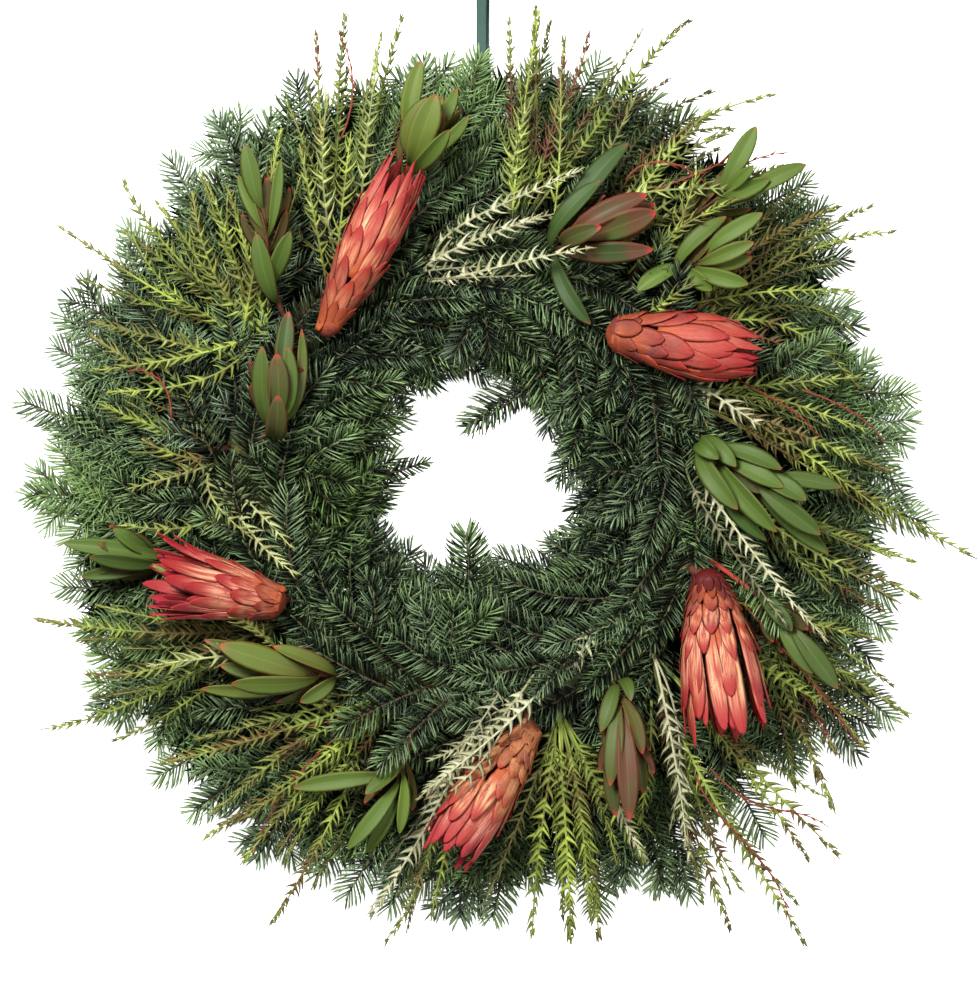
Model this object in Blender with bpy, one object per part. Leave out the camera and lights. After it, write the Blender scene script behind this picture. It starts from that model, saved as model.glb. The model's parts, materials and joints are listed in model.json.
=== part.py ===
"""A fresh protea wreath lying on its back.

A moss ring is bound to a wire frame and dressed with fir boughs, grevillea sprigs,
leucadendron shoots and five protea blooms, with a ribbon loop to hang it by.
Units are metres, +Z is up, and the origin is on the surface that the wreath lies on,
under the middle of the foliage's outline. The layout tables are in millimetres from
the middle of the ring: x to the right, y towards the ribbon, z up.
"""

import math
import random

import bpy
from mathutils import Matrix, Vector
from mathutils.bvhtree import BVHTree

MM = 0.001
TURN = 2 * math.pi

# The middle of the ring, seen from the origin
RING_X, RING_Y = -16.9, -3.5

# Gaps: between touching pieces, and what a growing piece keeps free round itself
SEAT_GAP = 0.35
CLEAR = 0.45
LOWEST = 1.0

# Wire frame: two hoops on flat cross bars, whose undersides are what the wreath rests on
HOOP_RADII = (140.0, 156.0)
HOOP_WIRE = 2.0
HOOP_HEIGHT = 4.6
HOOP_SEGMENTS = 20
BAR_COUNT = 6
BAR_FIRST_DEG = 15.0
BAR_SPAN = (133.0, 163.0)
BAR_WIDTH = 8.0
BAR_THICKNESS = 3.2

# Moss ring: eight flats round its section, and its flat bottom just above the hoops
MOSS_RADIUS = 148.0
MOSS_HALF_WIDTH = 24.0
MOSS_HALF_HEIGHT = 17.5
MOSS_BOTTOM = 7.0
MOSS_SEGMENTS = 32
MOSS_SIDES = 8

# Binding wire: one length, wound round moss and frame between the cross bars
BINDING_TURNS = 12
BINDING_WIRE = 0.45
BINDING_GAP = 0.9
BINDING_CORNER = 1.3
BINDING_UNDER = 1.8
BINDING_UNDER_HALF = 12.5
BINDING_FIRST_DEG = 12.0
BINDING_SPAN_DEG = 348.0

# Ribbon: a flat band folded into a loop, one strand on the other and a little beside it
RIBBON_WIDTH = 7.0
RIBBON_THICKNESS = 0.6
RIBBON_X = 4.3
RIBBON_BESIDE = 2.0
RIBBON_START = 158.6
RIBBON_REACH = 352.0
RIBBON_LOWER_Z = 0.9
RIBBON_UPPER_Z = 2.6
RIBBON_LOOP_Z = 10.0

# The clear space in the wreath's hole: x and y limits, kept free of every needle
HOLE_LOW = (-30.0, -29.0)
HOLE_HIGH = (54.0, 31.0)
HOLE_TOP = 160.0

# Fir: three-sided twigs with whorls of needles
FIR_MAIN_WOOD = 2.0
FIR_WOOD = 1.5
FIR_TIP_WOOD = 0.9
TWIG_BARE = 13.0
NEEDLE_LENGTH = 17.0
NEEDLE_BAND = 3.2
WHORL_STEP = 23.0
NEEDLE_SWEEP_DEG = 47.0
NEEDLE_SPREAD = TURN / 14
LAST_NEEDLES = 0.75

# Grevillea: a slim rib, bare for a share of its length, then with a pair of pointed lobes
# at each step
RIB_ROOT, RIB_TIP = 1.4, 0.7
RIB_BARE = 0.34
RIB_END = 7.0
LOBE_LENGTH = 14.0
LOBE_STEP = 16.0
LOBE_SWEEP_DEG = 48.0
LOBE_RISE = 0.14
FIRST_LOBES = 0.75
LAST_LOBES = 0.5
SPRIG_FIRST = 4.0
SPRIG_APART = 1.6
SPRIG_TOWARD = 1.3

# The short foot that a bunch of grevillea stands on
STUB_RADIUS = 3.4
STUB_LENGTH = 13.0
STUB_SIDES = 6

# Stems: root and tip radius, and how far each goes straight out of what carries it
STEM_STEP = 24.0
STEM_END = 0.97
PROTEA_STEM = (4.0, 3.4)
PROTEA_STEM_SIDES = 6
PROTEA_STEM_FREE = 4.4
PROTEA_REACH = 12.0
SHOOT_STEM = (2.4, 1.6)
SHOOT_REACH = 14.0
SPRIG_REACH = 18.0
BOUGH_REACH = 0.4
SEAT_RAY = 80.0

# Root tilts of the proteas that stand outside and inside the middle of the moss
TILT_OUTSIDE = 90.0
TILT_INSIDE = 112.0

# Leaves: the width of the foot, then (share of length, share of width), and how they grow
LEAF_THICKNESS = 1.1
LEAF_FOOT = 2.4
LEAF_WIDTHS = ((0.45, 0.92), (0.74, 0.84))
LEAF_BACK = 10.0
LEAF_FIRST = 8.0
LEAF_ARCH = 0.10
LEAF_CLEAR_FROM = 0.3

# Heads: the share of the length that is widest, the width at the base, and the bend
# from the widest place to the open tip
HEAD_WIDEST_AT = 0.6
HEAD_BASE = 0.42
HEAD_BEND = 1.4
HEAD_HEART = 0.78
HEAD_TOP_RING = 0.75

# Bracts: the share of a head that they are rooted over, how deep, how thick half-way,
# how much of the way round each row fills, and how far the lowest row reaches
BRACT_ROOTS = 0.55
BRACT_ROOT_DEPTH = 3.0
BRACT_THICKNESS = 1.3
BRACT_PROUD = 0.3
BRACT_FILL = 0.92
BRACT_FIRST = 0.24
BRACT_CHANCE = (0.93, 1.03)
TOP_BRACT_CHANCE = (0.88, 1.0)
BRACT_TIP_OUT = (1.6, 3.0)
SEED = 7

# Ways to bend a stem clear: its tip goes up by this much, or its root round by this angle
LIFTS = (0.0, 4.0, -4.0, 8.0, -8.0, 13.0, 18.0)
SHIFTS_DEG = (0.0, 2.0, -2.0, 4.0, -4.0, 6.0, -6.0)
LEAF_LIFTS = (0, 3, -3, 6, -6, 9, 12, -9, 16, 20)

# The lengths tried for a needle or a lobe, as shares, where a neighbour is in its way
SHORTER = (1.0, 0.7, 0.45)

# Protea blooms: base x y z, tip x y z, widest radius, openness of the tip,
# rows, bracts in a row, share of the head that the upper bracts reach over
PROTEAS = (
    ("protea_1", (-99, 105, 68), (-46, 212, 86), 19, 0.30, 5, 8, 0.44),
    ("protea_2", (97, 99, 70), (197, 83, 86), 23, 0.28, 5, 8, 0.40),
    ("protea_3", (158, -68, 70), (172, -177, 84), 27, 0.95, 5, 9, 0.50),
    ("protea_4", (36, -171, 66), (-22, -255, 84), 21, 0.48, 5, 8, 0.42),
    ("protea_5", (-136, -82, 68), (-218, -64, 84), 21, 1.4, 4, 9, 0.60),
)

# Leucadendron shoots: root angle on the ring, root tilt on its section, a point that the
# stem is drawn past and its end, and its leaves.
# A leaf: base x y z, tip x y z, width.
LEUCADENDRONS = (
    ("leucadendron_1", 108, 70, ((-60, 184, 60), (-34, 236, 88)), (
        (-41, 214, 96, -26, 259, 100, 19),
        (-55, 226, 88, -31, 257, 92, 14),
        (-52, 240, 80, -36, 283, 80, 13),
        (-24, 232, 86, -12, 264, 86, 10),
        (-38, 205, 100, -17, 235, 106, 13),
        (-22, 216, 90, -4, 245, 92, 9),
        (-36, 236, 82, -22, 258, 78, 14),
    )),
    ("leucadendron_2", 72, 70, ((44, 150, 66), (84, 170, 84)), (
        (56, 170, 93, 116, 192, 90, 14),
        (78, 163, 90, 122, 180, 96, 19),
        (56, 148, 88, 120, 155, 90, 15),
        (52, 160, 94, 85, 170, 104, 13),
        (36, 164, 82, 85, 202, 84, 13),
        (56, 190, 70, 104, 228, 68, 15),
        (74, 174, 78, 122, 186, 78, 12),
        (46, 134, 80, 78, 105, 84, 12),
    )),
    ("leucadendron_3", 172, 70, ((-131, 24, 66), (-132, 60, 84)), (
        (-145, 36, 86, -143, 90, 92, 14),
        (-130, 40, 88, -133, 85, 96, 15),
        (-120, 36, 86, -126, 90, 90, 12),
        (-112, 30, 80, -117, 102, 80, 8),
        (-133, 14, 92, -132, 57, 106, 14),
        (-131, 72, 74, -126, 114, 72, 12),
    )),
    ("leucadendron_4", 141, 70, ((-138, 112, 70), (-143, 190, 78)), (
        (-140, 120, 84, -147, 166, 90, 13),
        (-138, 134, 86, -124, 167, 92, 13),
        (-136, 172, 84, -131, 216, 84, 8),
        (-147, 194, 84, -155, 226, 86, 13),
        (-146, 176, 80, -160, 206, 74, 9),
    )),
    ("leucadendron_5", 14, 70, ((134, 30, 64), (196, -6, 76)), (
        (140, 18, 86, 177, -20, 92, 14),
        (162, 5, 88, 203, -35, 94, 15),
        (156, -14, 80, 197, -41, 80, 11),
        (140, 34, 84, 164, 14, 90, 12),
        (156, 32, 80, 176, 9, 86, 12),
        (172, 28, 80, 207, 7, 84, 12),
        (176, 12, 82, 208, -5, 88, 12),
        (200, 5, 84, 223, -14, 90, 14),
        (200, -10, 80, 233, -37, 84, 14),
        (216, 2, 74, 248, -5, 72, 11),
        (212, -22, 72, 239, -50, 70, 12),
    )),
    ("leucadendron_6", 52, 70, ((124, 168, 58), (176, 198, 68)), (
        (170, 198, 72, 190, 239, 76, 13),
        (186, 200, 74, 224, 213, 76, 12),
        (170, 192, 70, 199, 203, 80, 12),
        (174, 198, 78, 188, 212, 86, 8),
    )),
    ("leucadendron_7", 44, 70, ((130, 138, 64), (160, 152, 76)), (
        (164, 160, 82, 194, 180, 86, 12),
        (158, 148, 84, 188, 160, 90, 11),
        (160, 142, 80, 187, 150, 84, 11),
        (154, 137, 84, 184, 132, 88, 12),
        (142, 140, 80, 160, 128, 78, 11),
        (128, 154, 76, 170, 178, 74, 12),
        (124, 142, 72, 110, 128, 74, 12),
    )),
    ("leucadendron_8", 342, 70, ((190, -72, 60), (216, -104, 70)), (
        (198, -78, 76, 214, -102, 80, 12),
        (208, -100, 74, 228, -131, 76, 12),
        (220, -106, 78, 245, -141, 78, 14),
    )),
    ("leucadendron_9", 306, 70, ((96, -136, 66), (100, -178, 82)), (
        (97, -133, 78, 85, -170, 82, 11),
        (103, -124, 84, 105, -149, 92, 9),
        (106, -146, 84, 113, -185, 84, 11),
        (97, -150, 86, 91, -206, 90, 13),
        (102, -154, 90, 104, -229, 94, 14),
        (88, -182, 78, 95, -227, 78, 11),
        (108, -168, 78, 114, -212, 72, 11),
    )),
    ("leucadendron_10", 237, 70, ((-84, -133, 64), (-116, -131, 78)), (
        (-114, -131, 92, -172, -111, 98, 18),
        (-86, -128, 86, -136, -112, 92, 11),
        (-122, -136, 86, -172, -125, 84, 12),
        (-108, -141, 90, -164, -137, 94, 14),
        (-146, -143, 80, -185, -141, 78, 10),
        (-140, -124, 78, -183, -108, 76, 10),
        (-92, -138, 80, -118, -150, 78, 11),
    )),
    ("leucadendron_11", 256, 70, ((-46, -188, 60), (-56, -214, 70)), (
        (-50, -208, 82, -86, -249, 82, 11),
        (-54, -196, 78, -74, -212, 84, 11),
        (-45, -206, 76, -51, -239, 74, 9),
        (-57, -222, 74, -73, -252, 70, 10),
        (-70, -198, 66, -123, -209, 60, 12),
    )),
    ("leucadendron_12", 196, 12, ((-200, -60, 34), (-236, -53, 46)), (
        (-213, -50, 51, -280, -43, 53, 12),
        (-218, -60, 46, -262, -52, 58, 12),
        (-224, -48, 50, -246, -33, 54, 11),
        (-228, -58, 44, -268, -66, 44, 10),
    )),
)

# Grevillea bunches: root angle on the ring, root tilt on its section, and the sprigs.
# A sprig: a point it is drawn past x y z, tip x y z.
GREVILLEAS = (
    ("grevillea_1", 146, 56, (
        (-214, 124, 50, -287, 175, 40),
        (-200, 134, 54, -239, 205, 50),
        (-176, 134, 56, -217, 189, 62),
        (-164, 142, 50, -187, 210, 52),
        (-150, 140, 44, -133, 232, 60),
    )),
    ("grevillea_2", 119, 40, (
        (-112, 160, 46, -117, 230, 62),
        (-100, 180, 40, -88, 318, 50),
        (-84, 196, 36, -49, 318, 44),
        (-104, 190, 44, -108, 304, 56),
    )),
    ("grevillea_3", 101, 100, (
        (-56, 143, 66, 44, 177, 88),
        (-45, 131, 60, 77, 156, 98),
        (-30, 168, 62, 74, 211, 80),
    )),
    ("grevillea_4", 81, 62, (
        (44, 250, 52, 41, 325, 40),
        (62, 246, 56, 77, 303, 50),
        (84, 252, 52, 146, 313, 42),
        (36, 222, 58, 30, 272, 60),
    )),
    ("grevillea_5", 60, 58, (
        (98, 232, 56, 205, 263, 46),
        (110, 212, 60, 176, 238, 58),
        (120, 196, 64, 190, 208, 66),
    )),
    ("grevillea_6", 34, 56, (
        (194, 156, 56, 286, 169, 44),
        (186, 166, 52, 248, 187, 46),
        (206, 128, 52, 262, 62, 46),
    )),
    ("grevillea_7", 22, 92, (
        (142, 73, 62, 193, 37, 74),
        (160, 56, 60, 286, 5, 50),
        (180, 40, 58, 343, -54, 34),
        (190, 64, 54, 268, 34, 50),
    )),
    ("grevillea_8", 4, 84, (
        (130, 20, 74, 238, -109, 90),
        (204, -36, 64, 305, -82, 44),
        (196, -30, 70, 289, -84, 60),
    )),
    ("grevillea_9", 338, 30, (
        (206, -104, 40, 296, -161, 38),
        (200, -96, 34, 267, -184, 44),
        (204, -120, 28, 246, -228, 36),
    )),
    ("grevillea_10", 316, 56, (
        (190, -200, 52, 248, -256, 40),
        (144, -194, 56, 226, -318, 38),
        (140, -222, 54, 174, -307, 42),
        (134, -164, 64, 143, -249, 62),
    )),
    ("grevillea_11", 290, 60, (
        (50, -176, 68, 39, -310, 46),
        (60, -186, 66, 65, -316, 46),
        (72, -190, 64, 84, -315, 42),
        (80, -200, 60, 116, -260, 58),
    )),
    ("grevillea_12", 271, 84, (
        (50, -140, 74, -16, -209, 104),
        (14, -170, 64, -33, -212, 78),
        (-16, -214, 60, -72, -297, 50),
        (-26, -262, 46, -62, -315, 34),
    )),
    ("grevillea_13", 244, 62, (
        (-58, -160, 66, -184, -243, 48),
        (-64, -178, 60, -139, -303, 42),
        (-60, -152, 70, -214, -192, 54),
        (-90, -176, 58, -160, -262, 50),
    )),
    ("grevillea_14", 216, 60, (
        (-188, -142, 54, -296, -170, 40),
        (-194, -110, 58, -299, -95, 44),
        (-190, -130, 62, -262, -132, 56),
    )),
    ("grevillea_15", 173, 34, (
        (-178, 42, 48, -262, 99, 50),
        (-182, 6, 50, -226, 28, 62),
        (-184, 22, 44, -256, 52, 50),
    )),
)

# Side twigs of a bough: (share of the way, swing, length), and the share of the bough's
# own fall that is left when they end
SIDE_DROP = 0.15

# Fir over the ring: root angle and tilt, tip x y z
TOP_BARE = 20.0
TOP_TWIGS = ((0.24, 36, 46), (0.34, -36, 44))
FIR_TOP = (
    ("fir_top_1", 2, 112, (84, 6, 64)),
    ("fir_top_2", 88, 112, (10, 88, 62)),
    ("fir_top_3", 176, 112, (-84, -2, 64)),
    ("fir_top_4", 262, 112, (-14, -84, 62)),
)

# Fir towards the hole: the same
INNER_BARE = 14.0
INNER_TWIGS = ((0.20, 38, 40), (0.28, -38, 38))
FIR_INNER = (
    ("fir_inner_1", 18, 172, (62, 24, 36)),
    ("fir_inner_2", 58, 168, (-4, 38, 44)),
    ("fir_inner_3", 112, 172, (-32, 66, 36)),
    ("fir_inner_4", 160, 172, (-58, 30, 32)),
    ("fir_inner_5", 193, 172, (-62, -14, 38)),
    ("fir_inner_6", 232, 172, (-44, -48, 32)),
    ("fir_inner_7", 272, 168, (-6, -36, 42)),
    ("fir_inner_8", 322, 172, (52, -42, 34)),
)

# Fir behind the rest: root angle, reach from the middle of the ring
BACK_BARE = 50.0
BACK_TWIGS = ((0.20, 33, 92), (0.30, -33, 88))
BACK_TIP_Z = 20.0
FIR_BACK = (
    (8, 300), (38, 302), (68, 292), (97, 288), (126, 302), (156, 304),
    (182, 306), (211, 300), (240, 298), (268, 300), (297, 312), (328, 318),
)


def spot(x, y, z):
    """A point of the layout tables, in metres from the origin."""
    return Vector(((RING_X + x) * MM, (RING_Y + y) * MM, z * MM))


def polar(radius, degrees, z):
    angle = math.radians(degrees)
    return spot(radius * math.cos(angle), radius * math.sin(angle), z)


class Shell:
    """A closed surface while it grows: points, and triangles that face out."""

    def __init__(self):
        self.points = []
        self.faces = []

    def ring(self, places):
        first = len(self.points)
        self.points.extend(places)
        return list(range(first, first + len(places)))

    def band(self, near, far):
        """Closes the strip between two rings and returns the place of its first triangle."""
        first = len(self.faces)
        for j, a in enumerate(near):
            k = (j + 1) % len(near)
            self.faces.append((a, near[k], far[k]))
            self.faces.append((a, far[k], far[j]))
        return first

    def root(self, ring):
        for j in range(1, len(ring) - 1):
            self.faces.append((ring[0], ring[j + 1], ring[j]))

    def end(self, ring):
        for j in range(1, len(ring) - 1):
            self.faces.append((ring[0], ring[j], ring[j + 1]))

    def tip(self, ring, place):
        apex = self.ring([place])[0]
        for j, a in enumerate(ring):
            self.faces.append((a, ring[(j + 1) % len(ring)], apex))

    def corners(self, face):
        return [self.points[i] for i in self.faces[face]]

    def spike(self, face, place):
        """Draws one triangle out into a spike."""
        a, b, c = self.faces[face]
        apex = self.ring([place])[0]
        self.faces[face] = (a, b, apex)
        self.faces.append((b, c, apex))
        self.faces.append((c, a, apex))


class Path:
    """A smooth line drawn by control points, with a frame that doesn't roll along it."""

    SAMPLES = 36

    def __init__(self, controls, up=Vector((0, 0, 1))):
        self.points = [self.bezier(controls, i / self.SAMPLES) for i in range(self.SAMPLES + 1)]
        self.run = [0.0]
        for a, b in zip(self.points, self.points[1:]):
            self.run.append(self.run[-1] + (b - a).length)
        self.length = self.run[-1]
        self.frames = self.carried(up)
        root = (controls[1] - controls[0]).normalized()
        up = self.frames[0][1]
        self.frames[0] = (root, (up - up.dot(root) * root).normalized())

    @staticmethod
    def bezier(controls, share):
        points = list(controls)
        while len(points) > 1:
            points = [a.lerp(b, share) for a, b in zip(points, points[1:])]
        return points[0]

    def carried(self, up):
        """The forward and up directions at each sample, carried back from the tip."""
        frames = []
        for i in range(self.SAMPLES, -1, -1):
            ahead = self.points[min(i + 1, self.SAMPLES)] - self.points[max(i - 1, 0)]
            forward = ahead.normalized()
            up = (up - up.dot(forward) * forward).normalized()
            frames.append((forward, up.copy()))
        return frames[::-1]

    def at(self, distance):
        """The point, forward, side and up directions that far along."""
        distance = min(max(distance, 0.0), self.length)
        i = next(k for k in range(1, self.SAMPLES + 1) if self.run[k] >= distance - 1e-9)
        step = self.run[i] - self.run[i - 1]
        share = (distance - self.run[i - 1]) / step
        forward, up = self.frames[i - 1 if share < 0.5 else i]
        return self.points[i - 1].lerp(self.points[i], share), forward, up.cross(forward), up


class Neighbours:
    """The nodes made so far. A new piece is tested against them before it is kept."""

    def __init__(self):
        self.solids = []

    def add(self, shells):
        for shell in shells:
            self.solids.append(self.searchable(shell.points, shell.faces))

    @staticmethod
    def searchable(points, faces):
        low = [min(p[k] for p in points) for k in range(3)]
        high = [max(p[k] for p in points) for k in range(3)]
        return BVHTree.FromPolygons(points, faces), low, high

    def free(self, points, faces):
        tree, low, high = self.searchable(points, faces)
        if low[2] < LOWEST * MM:
            return False
        for other, other_low, other_high in self.solids:
            apart = any(low[k] > other_high[k] or high[k] < other_low[k] for k in range(3))
            if not apart and tree.overlap(other):
                return False
        return True


def corner(place, side, up, radius, angle):
    return place + (side * math.cos(angle) + up * math.sin(angle)) * radius


def rod(path, stations, turns, sides=3, swell=0.0):
    """A rod along a path through (distance, radius) stations, drawn to a point at the end."""
    shell = Shell()
    rings = []
    bands = []
    for (distance, radius), turn in zip(stations, turns):
        place, _, side, up = path.at(distance * MM)
        angles = [turn + j * TURN / sides for j in range(sides)]
        rings.append(shell.ring([corner(place, side, up, (radius + swell) * MM, a) for a in angles]))
    shell.root(rings[0])
    for near, far in zip(rings, rings[1:]):
        bands.append(shell.band(near, far))
    shell.tip(rings[-1], path.at(path.length)[0])
    return shell, bands


def spike_is_free(neighbours, corners, apex):
    """Tests a spike made wider and longer by the clear distance."""
    middle = sum(corners, Vector()) / 3
    reach = (apex - middle).normalized() * CLEAR * MM
    wide = [c + (c - middle).normalized() * CLEAR * MM for c in corners]
    return neighbours.free(wide + [apex + reach], [(0, 1, 3), (1, 2, 3), (2, 0, 3)])


def grow_spike(shell, face, direction, length, neighbours):
    """Adds a spike, shorter where the full one would cross a neighbour, or none."""
    corners = shell.corners(face)
    middle = sum(corners, Vector()) / 3
    for share in SHORTER:
        apex = middle + direction * length * share * MM
        if spike_is_free(neighbours, corners, apex):
            shell.spike(face, apex)
            return


def evenly(start, stop, step):
    count = max(1, round((stop - start) / step))
    return [start + (stop - start) * i / count for i in range(count + 1)]


def fir_twig(path, bare, wood, neighbours):
    """A slim twig with a whorl of six needles at each step, out to its tip."""
    length = path.length / MM
    last = length - NEEDLE_LENGTH * 0.5
    whorls = evenly(bare, last, WHORL_STEP)
    stations = [(0.0, wood)]
    turns = [0.0]
    if bare > WHORL_STEP * 2:
        stations.append((bare * 0.5, wood * 0.95))
        turns.append(0.0)
    for k, start in enumerate(whorls):
        thick = wood + (FIR_TIP_WOOD - wood) * start / length
        for distance in (start, start + NEEDLE_BAND):
            stations.append((distance, thick))
            turns.append(-k * TURN / 6)
    shell, bands = rod(path, stations, turns)
    sweep = math.radians(NEEDLE_SWEEP_DEG)
    first = len(stations) - 2 * len(whorls)
    for k, start in enumerate(whorls):
        _, forward, side, up = path.at((start + NEEDLE_BAND / 2) * MM)
        size = NEEDLE_LENGTH * (LAST_NEEDLES if k == len(whorls) - 1 else 1.0)
        for j in range(3):
            middle = turns[first + 2 * k] + (j + 0.5) * TURN / 3
            for half, lean in ((0, 1), (1, -1)):
                angle = middle + lean * NEEDLE_SPREAD
                out = side * math.cos(angle) + up * math.sin(angle)
                direction = out * math.cos(sweep) + forward * math.sin(sweep)
                face = bands[first + 2 * k] + 2 * j + half
                grow_spike(shell, face, direction, size, neighbours)
    return shell


def stem_core(path, root_radius, tip_radius, swell):
    """The bare rod of a stem, made wider by swell to test the way it takes."""
    length = path.length / MM
    stations = []
    for distance in evenly(0.0, length * STEM_END, STEM_STEP):
        stations.append((distance, root_radius + (tip_radius - root_radius) * distance / length))
    return rod(path, stations, [0.0] * len(stations), swell=swell)[0]


def clear_path(ways, root_radius, tip_radius, neighbours):
    """The first of the ways that keeps clear of the neighbours."""
    for path in ways:
        shell = stem_core(path, root_radius, tip_radius, CLEAR)
        if neighbours.free(shell.points, shell.faces):
            return path
    raise ValueError("a stem has no clear way to its tip")


def moss_profile():
    """The corners of the ring's section, from outside round by the top: radius and height."""
    middle = MOSS_BOTTOM + MOSS_HALF_HEIGHT
    flat = math.tan(math.pi / MOSS_SIDES)
    wide, high = MOSS_HALF_WIDTH, MOSS_HALF_HEIGHT
    quarter = ((wide, high * flat), (wide * flat, high))
    corners = [quarter[0], quarter[1]]
    corners += [(-x, z) for x, z in reversed(quarter)]
    corners += [(-x, -z) for x, z in quarter]
    corners += [(x, -z) for x, z in reversed(quarter)]
    return [(MOSS_RADIUS + x, middle + z) for x, z in corners]


def hoop_shell(profile, segments):
    """A ring turned from a closed profile of (radius, height) corners."""
    shell = Shell()
    rings = []
    for i in range(segments):
        degrees = 360.0 * i / segments
        rings.append(shell.ring([polar(radius, degrees, z) for radius, z in profile]))
    for i in range(segments):
        shell.band(rings[(i + 1) % segments], rings[i])
    return shell


def bar_shell(degrees):
    """One flat cross bar under the hoops."""
    angle = math.radians(degrees)
    along = Vector((math.cos(angle), math.sin(angle), 0))
    across = Vector((-math.sin(angle), math.cos(angle), 0)) * BAR_WIDTH / 2 * MM
    shell = Shell()
    ends = []
    for radius in BAR_SPAN:
        middle = spot(0, 0, 0) + along * radius * MM
        low = [middle - across, middle + across]
        high = [p + Vector((0, 0, BAR_THICKNESS * MM)) for p in reversed(low)]
        ends.append(shell.ring(low + high))
    shell.root(ends[0])
    shell.band(ends[0], ends[1])
    shell.end(ends[1])
    return shell


def wire_frame_shells():
    shells = []
    for radius in HOOP_RADII:
        r, z = HOOP_WIRE, HOOP_HEIGHT
        profile = ((radius + r, z), (radius, z + r), (radius - r, z), (radius, z - r))
        shells.append(hoop_shell(profile, HOOP_SEGMENTS))
    for i in range(BAR_COUNT):
        shells.append(bar_shell(BAR_FIRST_DEG + i * 360.0 / BAR_COUNT))
    return shells


def binding_points():
    """The way of the binding wire: round the section again and again while it goes round."""
    middle = MOSS_BOTTOM + MOSS_HALF_HEIGHT
    section = []
    for radius, z in moss_profile():
        across, over = radius - MOSS_RADIUS, z - middle
        grow = 1 + BINDING_GAP / math.hypot(across, over) * BINDING_CORNER
        if over <= -MOSS_HALF_HEIGHT:
            section.append((MOSS_RADIUS + math.copysign(BINDING_UNDER_HALF, across),
                            BINDING_UNDER))
        else:
            section.append((MOSS_RADIUS + across * grow, middle + over * grow))
    points = []
    count = BINDING_TURNS * MOSS_SIDES
    for i in range(count):
        radius, z = section[i % MOSS_SIDES]
        degrees = BINDING_FIRST_DEG + BINDING_SPAN_DEG * i / (count - 1)
        points.append(polar(radius, degrees, z))
    return points


def wire_shell(points, radius):
    """A three-sided wire through the points, with flat ends."""
    shell = Shell()
    rings = []
    middle = spot(0, 0, MOSS_BOTTOM + MOSS_HALF_HEIGHT)
    for i, place in enumerate(points):
        ahead = points[min(i + 1, len(points) - 1)] - points[max(i - 1, 0)]
        forward = ahead.normalized()
        around = Vector((place.x - middle.x, place.y - middle.y, 0)).normalized()
        core = middle + around * MOSS_RADIUS * MM
        up = place - core
        up = (up - up.dot(forward) * forward).normalized()
        side = up.cross(forward)
        angles = [TURN / 4 + j * TURN / 3 for j in range(3)]
        rings.append(shell.ring([corner(place, side, up, radius * MM, a) for a in angles]))
    shell.root(rings[0])
    for near, far in zip(rings, rings[1:]):
        shell.band(near, far)
    shell.end(rings[-1])
    return shell


def ribbon_line():
    """The ribbon's middle line: out on the lower strand, round the loop, back on the upper."""
    right, left = RIBBON_X + RIBBON_BESIDE, RIBBON_X
    middle = (right + left) / 2
    y0, y1 = RIBBON_START, RIBBON_REACH
    line = [
        (right, y0, 3.4), (right, y0 + 12, 2.0), (right, y0 + 30, RIBBON_LOWER_Z),
        (right, y0 + 90, RIBBON_LOWER_Z), (right, y1 - 34, RIBBON_LOWER_Z),
        (right, y1 - 14, RIBBON_LOWER_Z), (middle + 0.6, y1 - 3, 2.4), (middle + 0.2, y1, 5.2),
        (middle - 0.2, y1 - 3, 8.2), (middle - 0.6, y1 - 9, RIBBON_LOOP_Z),
        (left, y1 - 18, 8.6), (left, y1 - 34, RIBBON_UPPER_Z + 1.4),
        (left, y1 - 52, RIBBON_UPPER_Z), (left, y0 + 90, RIBBON_UPPER_Z),
        (left, y0 + 30, RIBBON_UPPER_Z), (left, y0 + 12, 3.8), (left, y0, 5.2),
    ]
    return [spot(x, y, z) for x, y, z in line]


def ribbon_shell():
    """The ribbon as a flat band: its width lies along X all the way."""
    shell = Shell()
    rings = []
    line = ribbon_line()
    across = Vector((RIBBON_WIDTH / 2 * MM, 0, 0))
    for i, place in enumerate(line):
        ahead = line[min(i + 1, len(line) - 1)] - line[max(i - 1, 0)]
        forward = Vector((0, ahead.y, ahead.z)).normalized()
        up = Vector((1, 0, 0)).cross(forward) * RIBBON_THICKNESS / 2 * MM
        rings.append(shell.ring([place + across + up, place + across - up,
                                 place - across - up, place - across + up]))
    shell.root(rings[0])
    for near, far in zip(rings, rings[1:]):
        shell.band(near, far)
    shell.end(rings[-1])
    return shell


def blade(path, stations, thickness, keel=-1):
    """A thin leaf along a path: (distance, width) stations, a flat face, and a keel behind.

    With keel 1 the ridge is on the upper side and the flat face below.
    """
    shell = Shell()
    rings = []
    for distance, width in stations:
        place, _, side, up = path.at(distance * MM)
        edge = side * width / 2 * MM
        ridge = place + up * keel * thickness * MM
        if keel < 0:
            rings.append(shell.ring([place + edge, place - edge, ridge]))
        else:
            rings.append(shell.ring([place - edge, place + edge, ridge]))
    shell.root(rings[0])
    for near, far in zip(rings, rings[1:]):
        shell.band(near, far)
    shell.tip(rings[-1], path.at(path.length)[0])
    return shell


def seat(moss, degrees, tilt):
    """Where a stem leaves the moss: the point just off its surface, and the way out of it."""
    angle, lean = math.radians(degrees), math.radians(tilt)
    outward = Vector((math.cos(angle), math.sin(angle), 0))
    direction = outward * math.cos(lean) + Vector((0, 0, math.sin(lean)))
    core = polar(MOSS_RADIUS, degrees, MOSS_BOTTOM + MOSS_HALF_HEIGHT)
    hit, normal, _, _ = moss.ray_cast(core + direction * SEAT_RAY * MM, -direction)
    return hit + normal * SEAT_GAP * MM, normal


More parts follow.
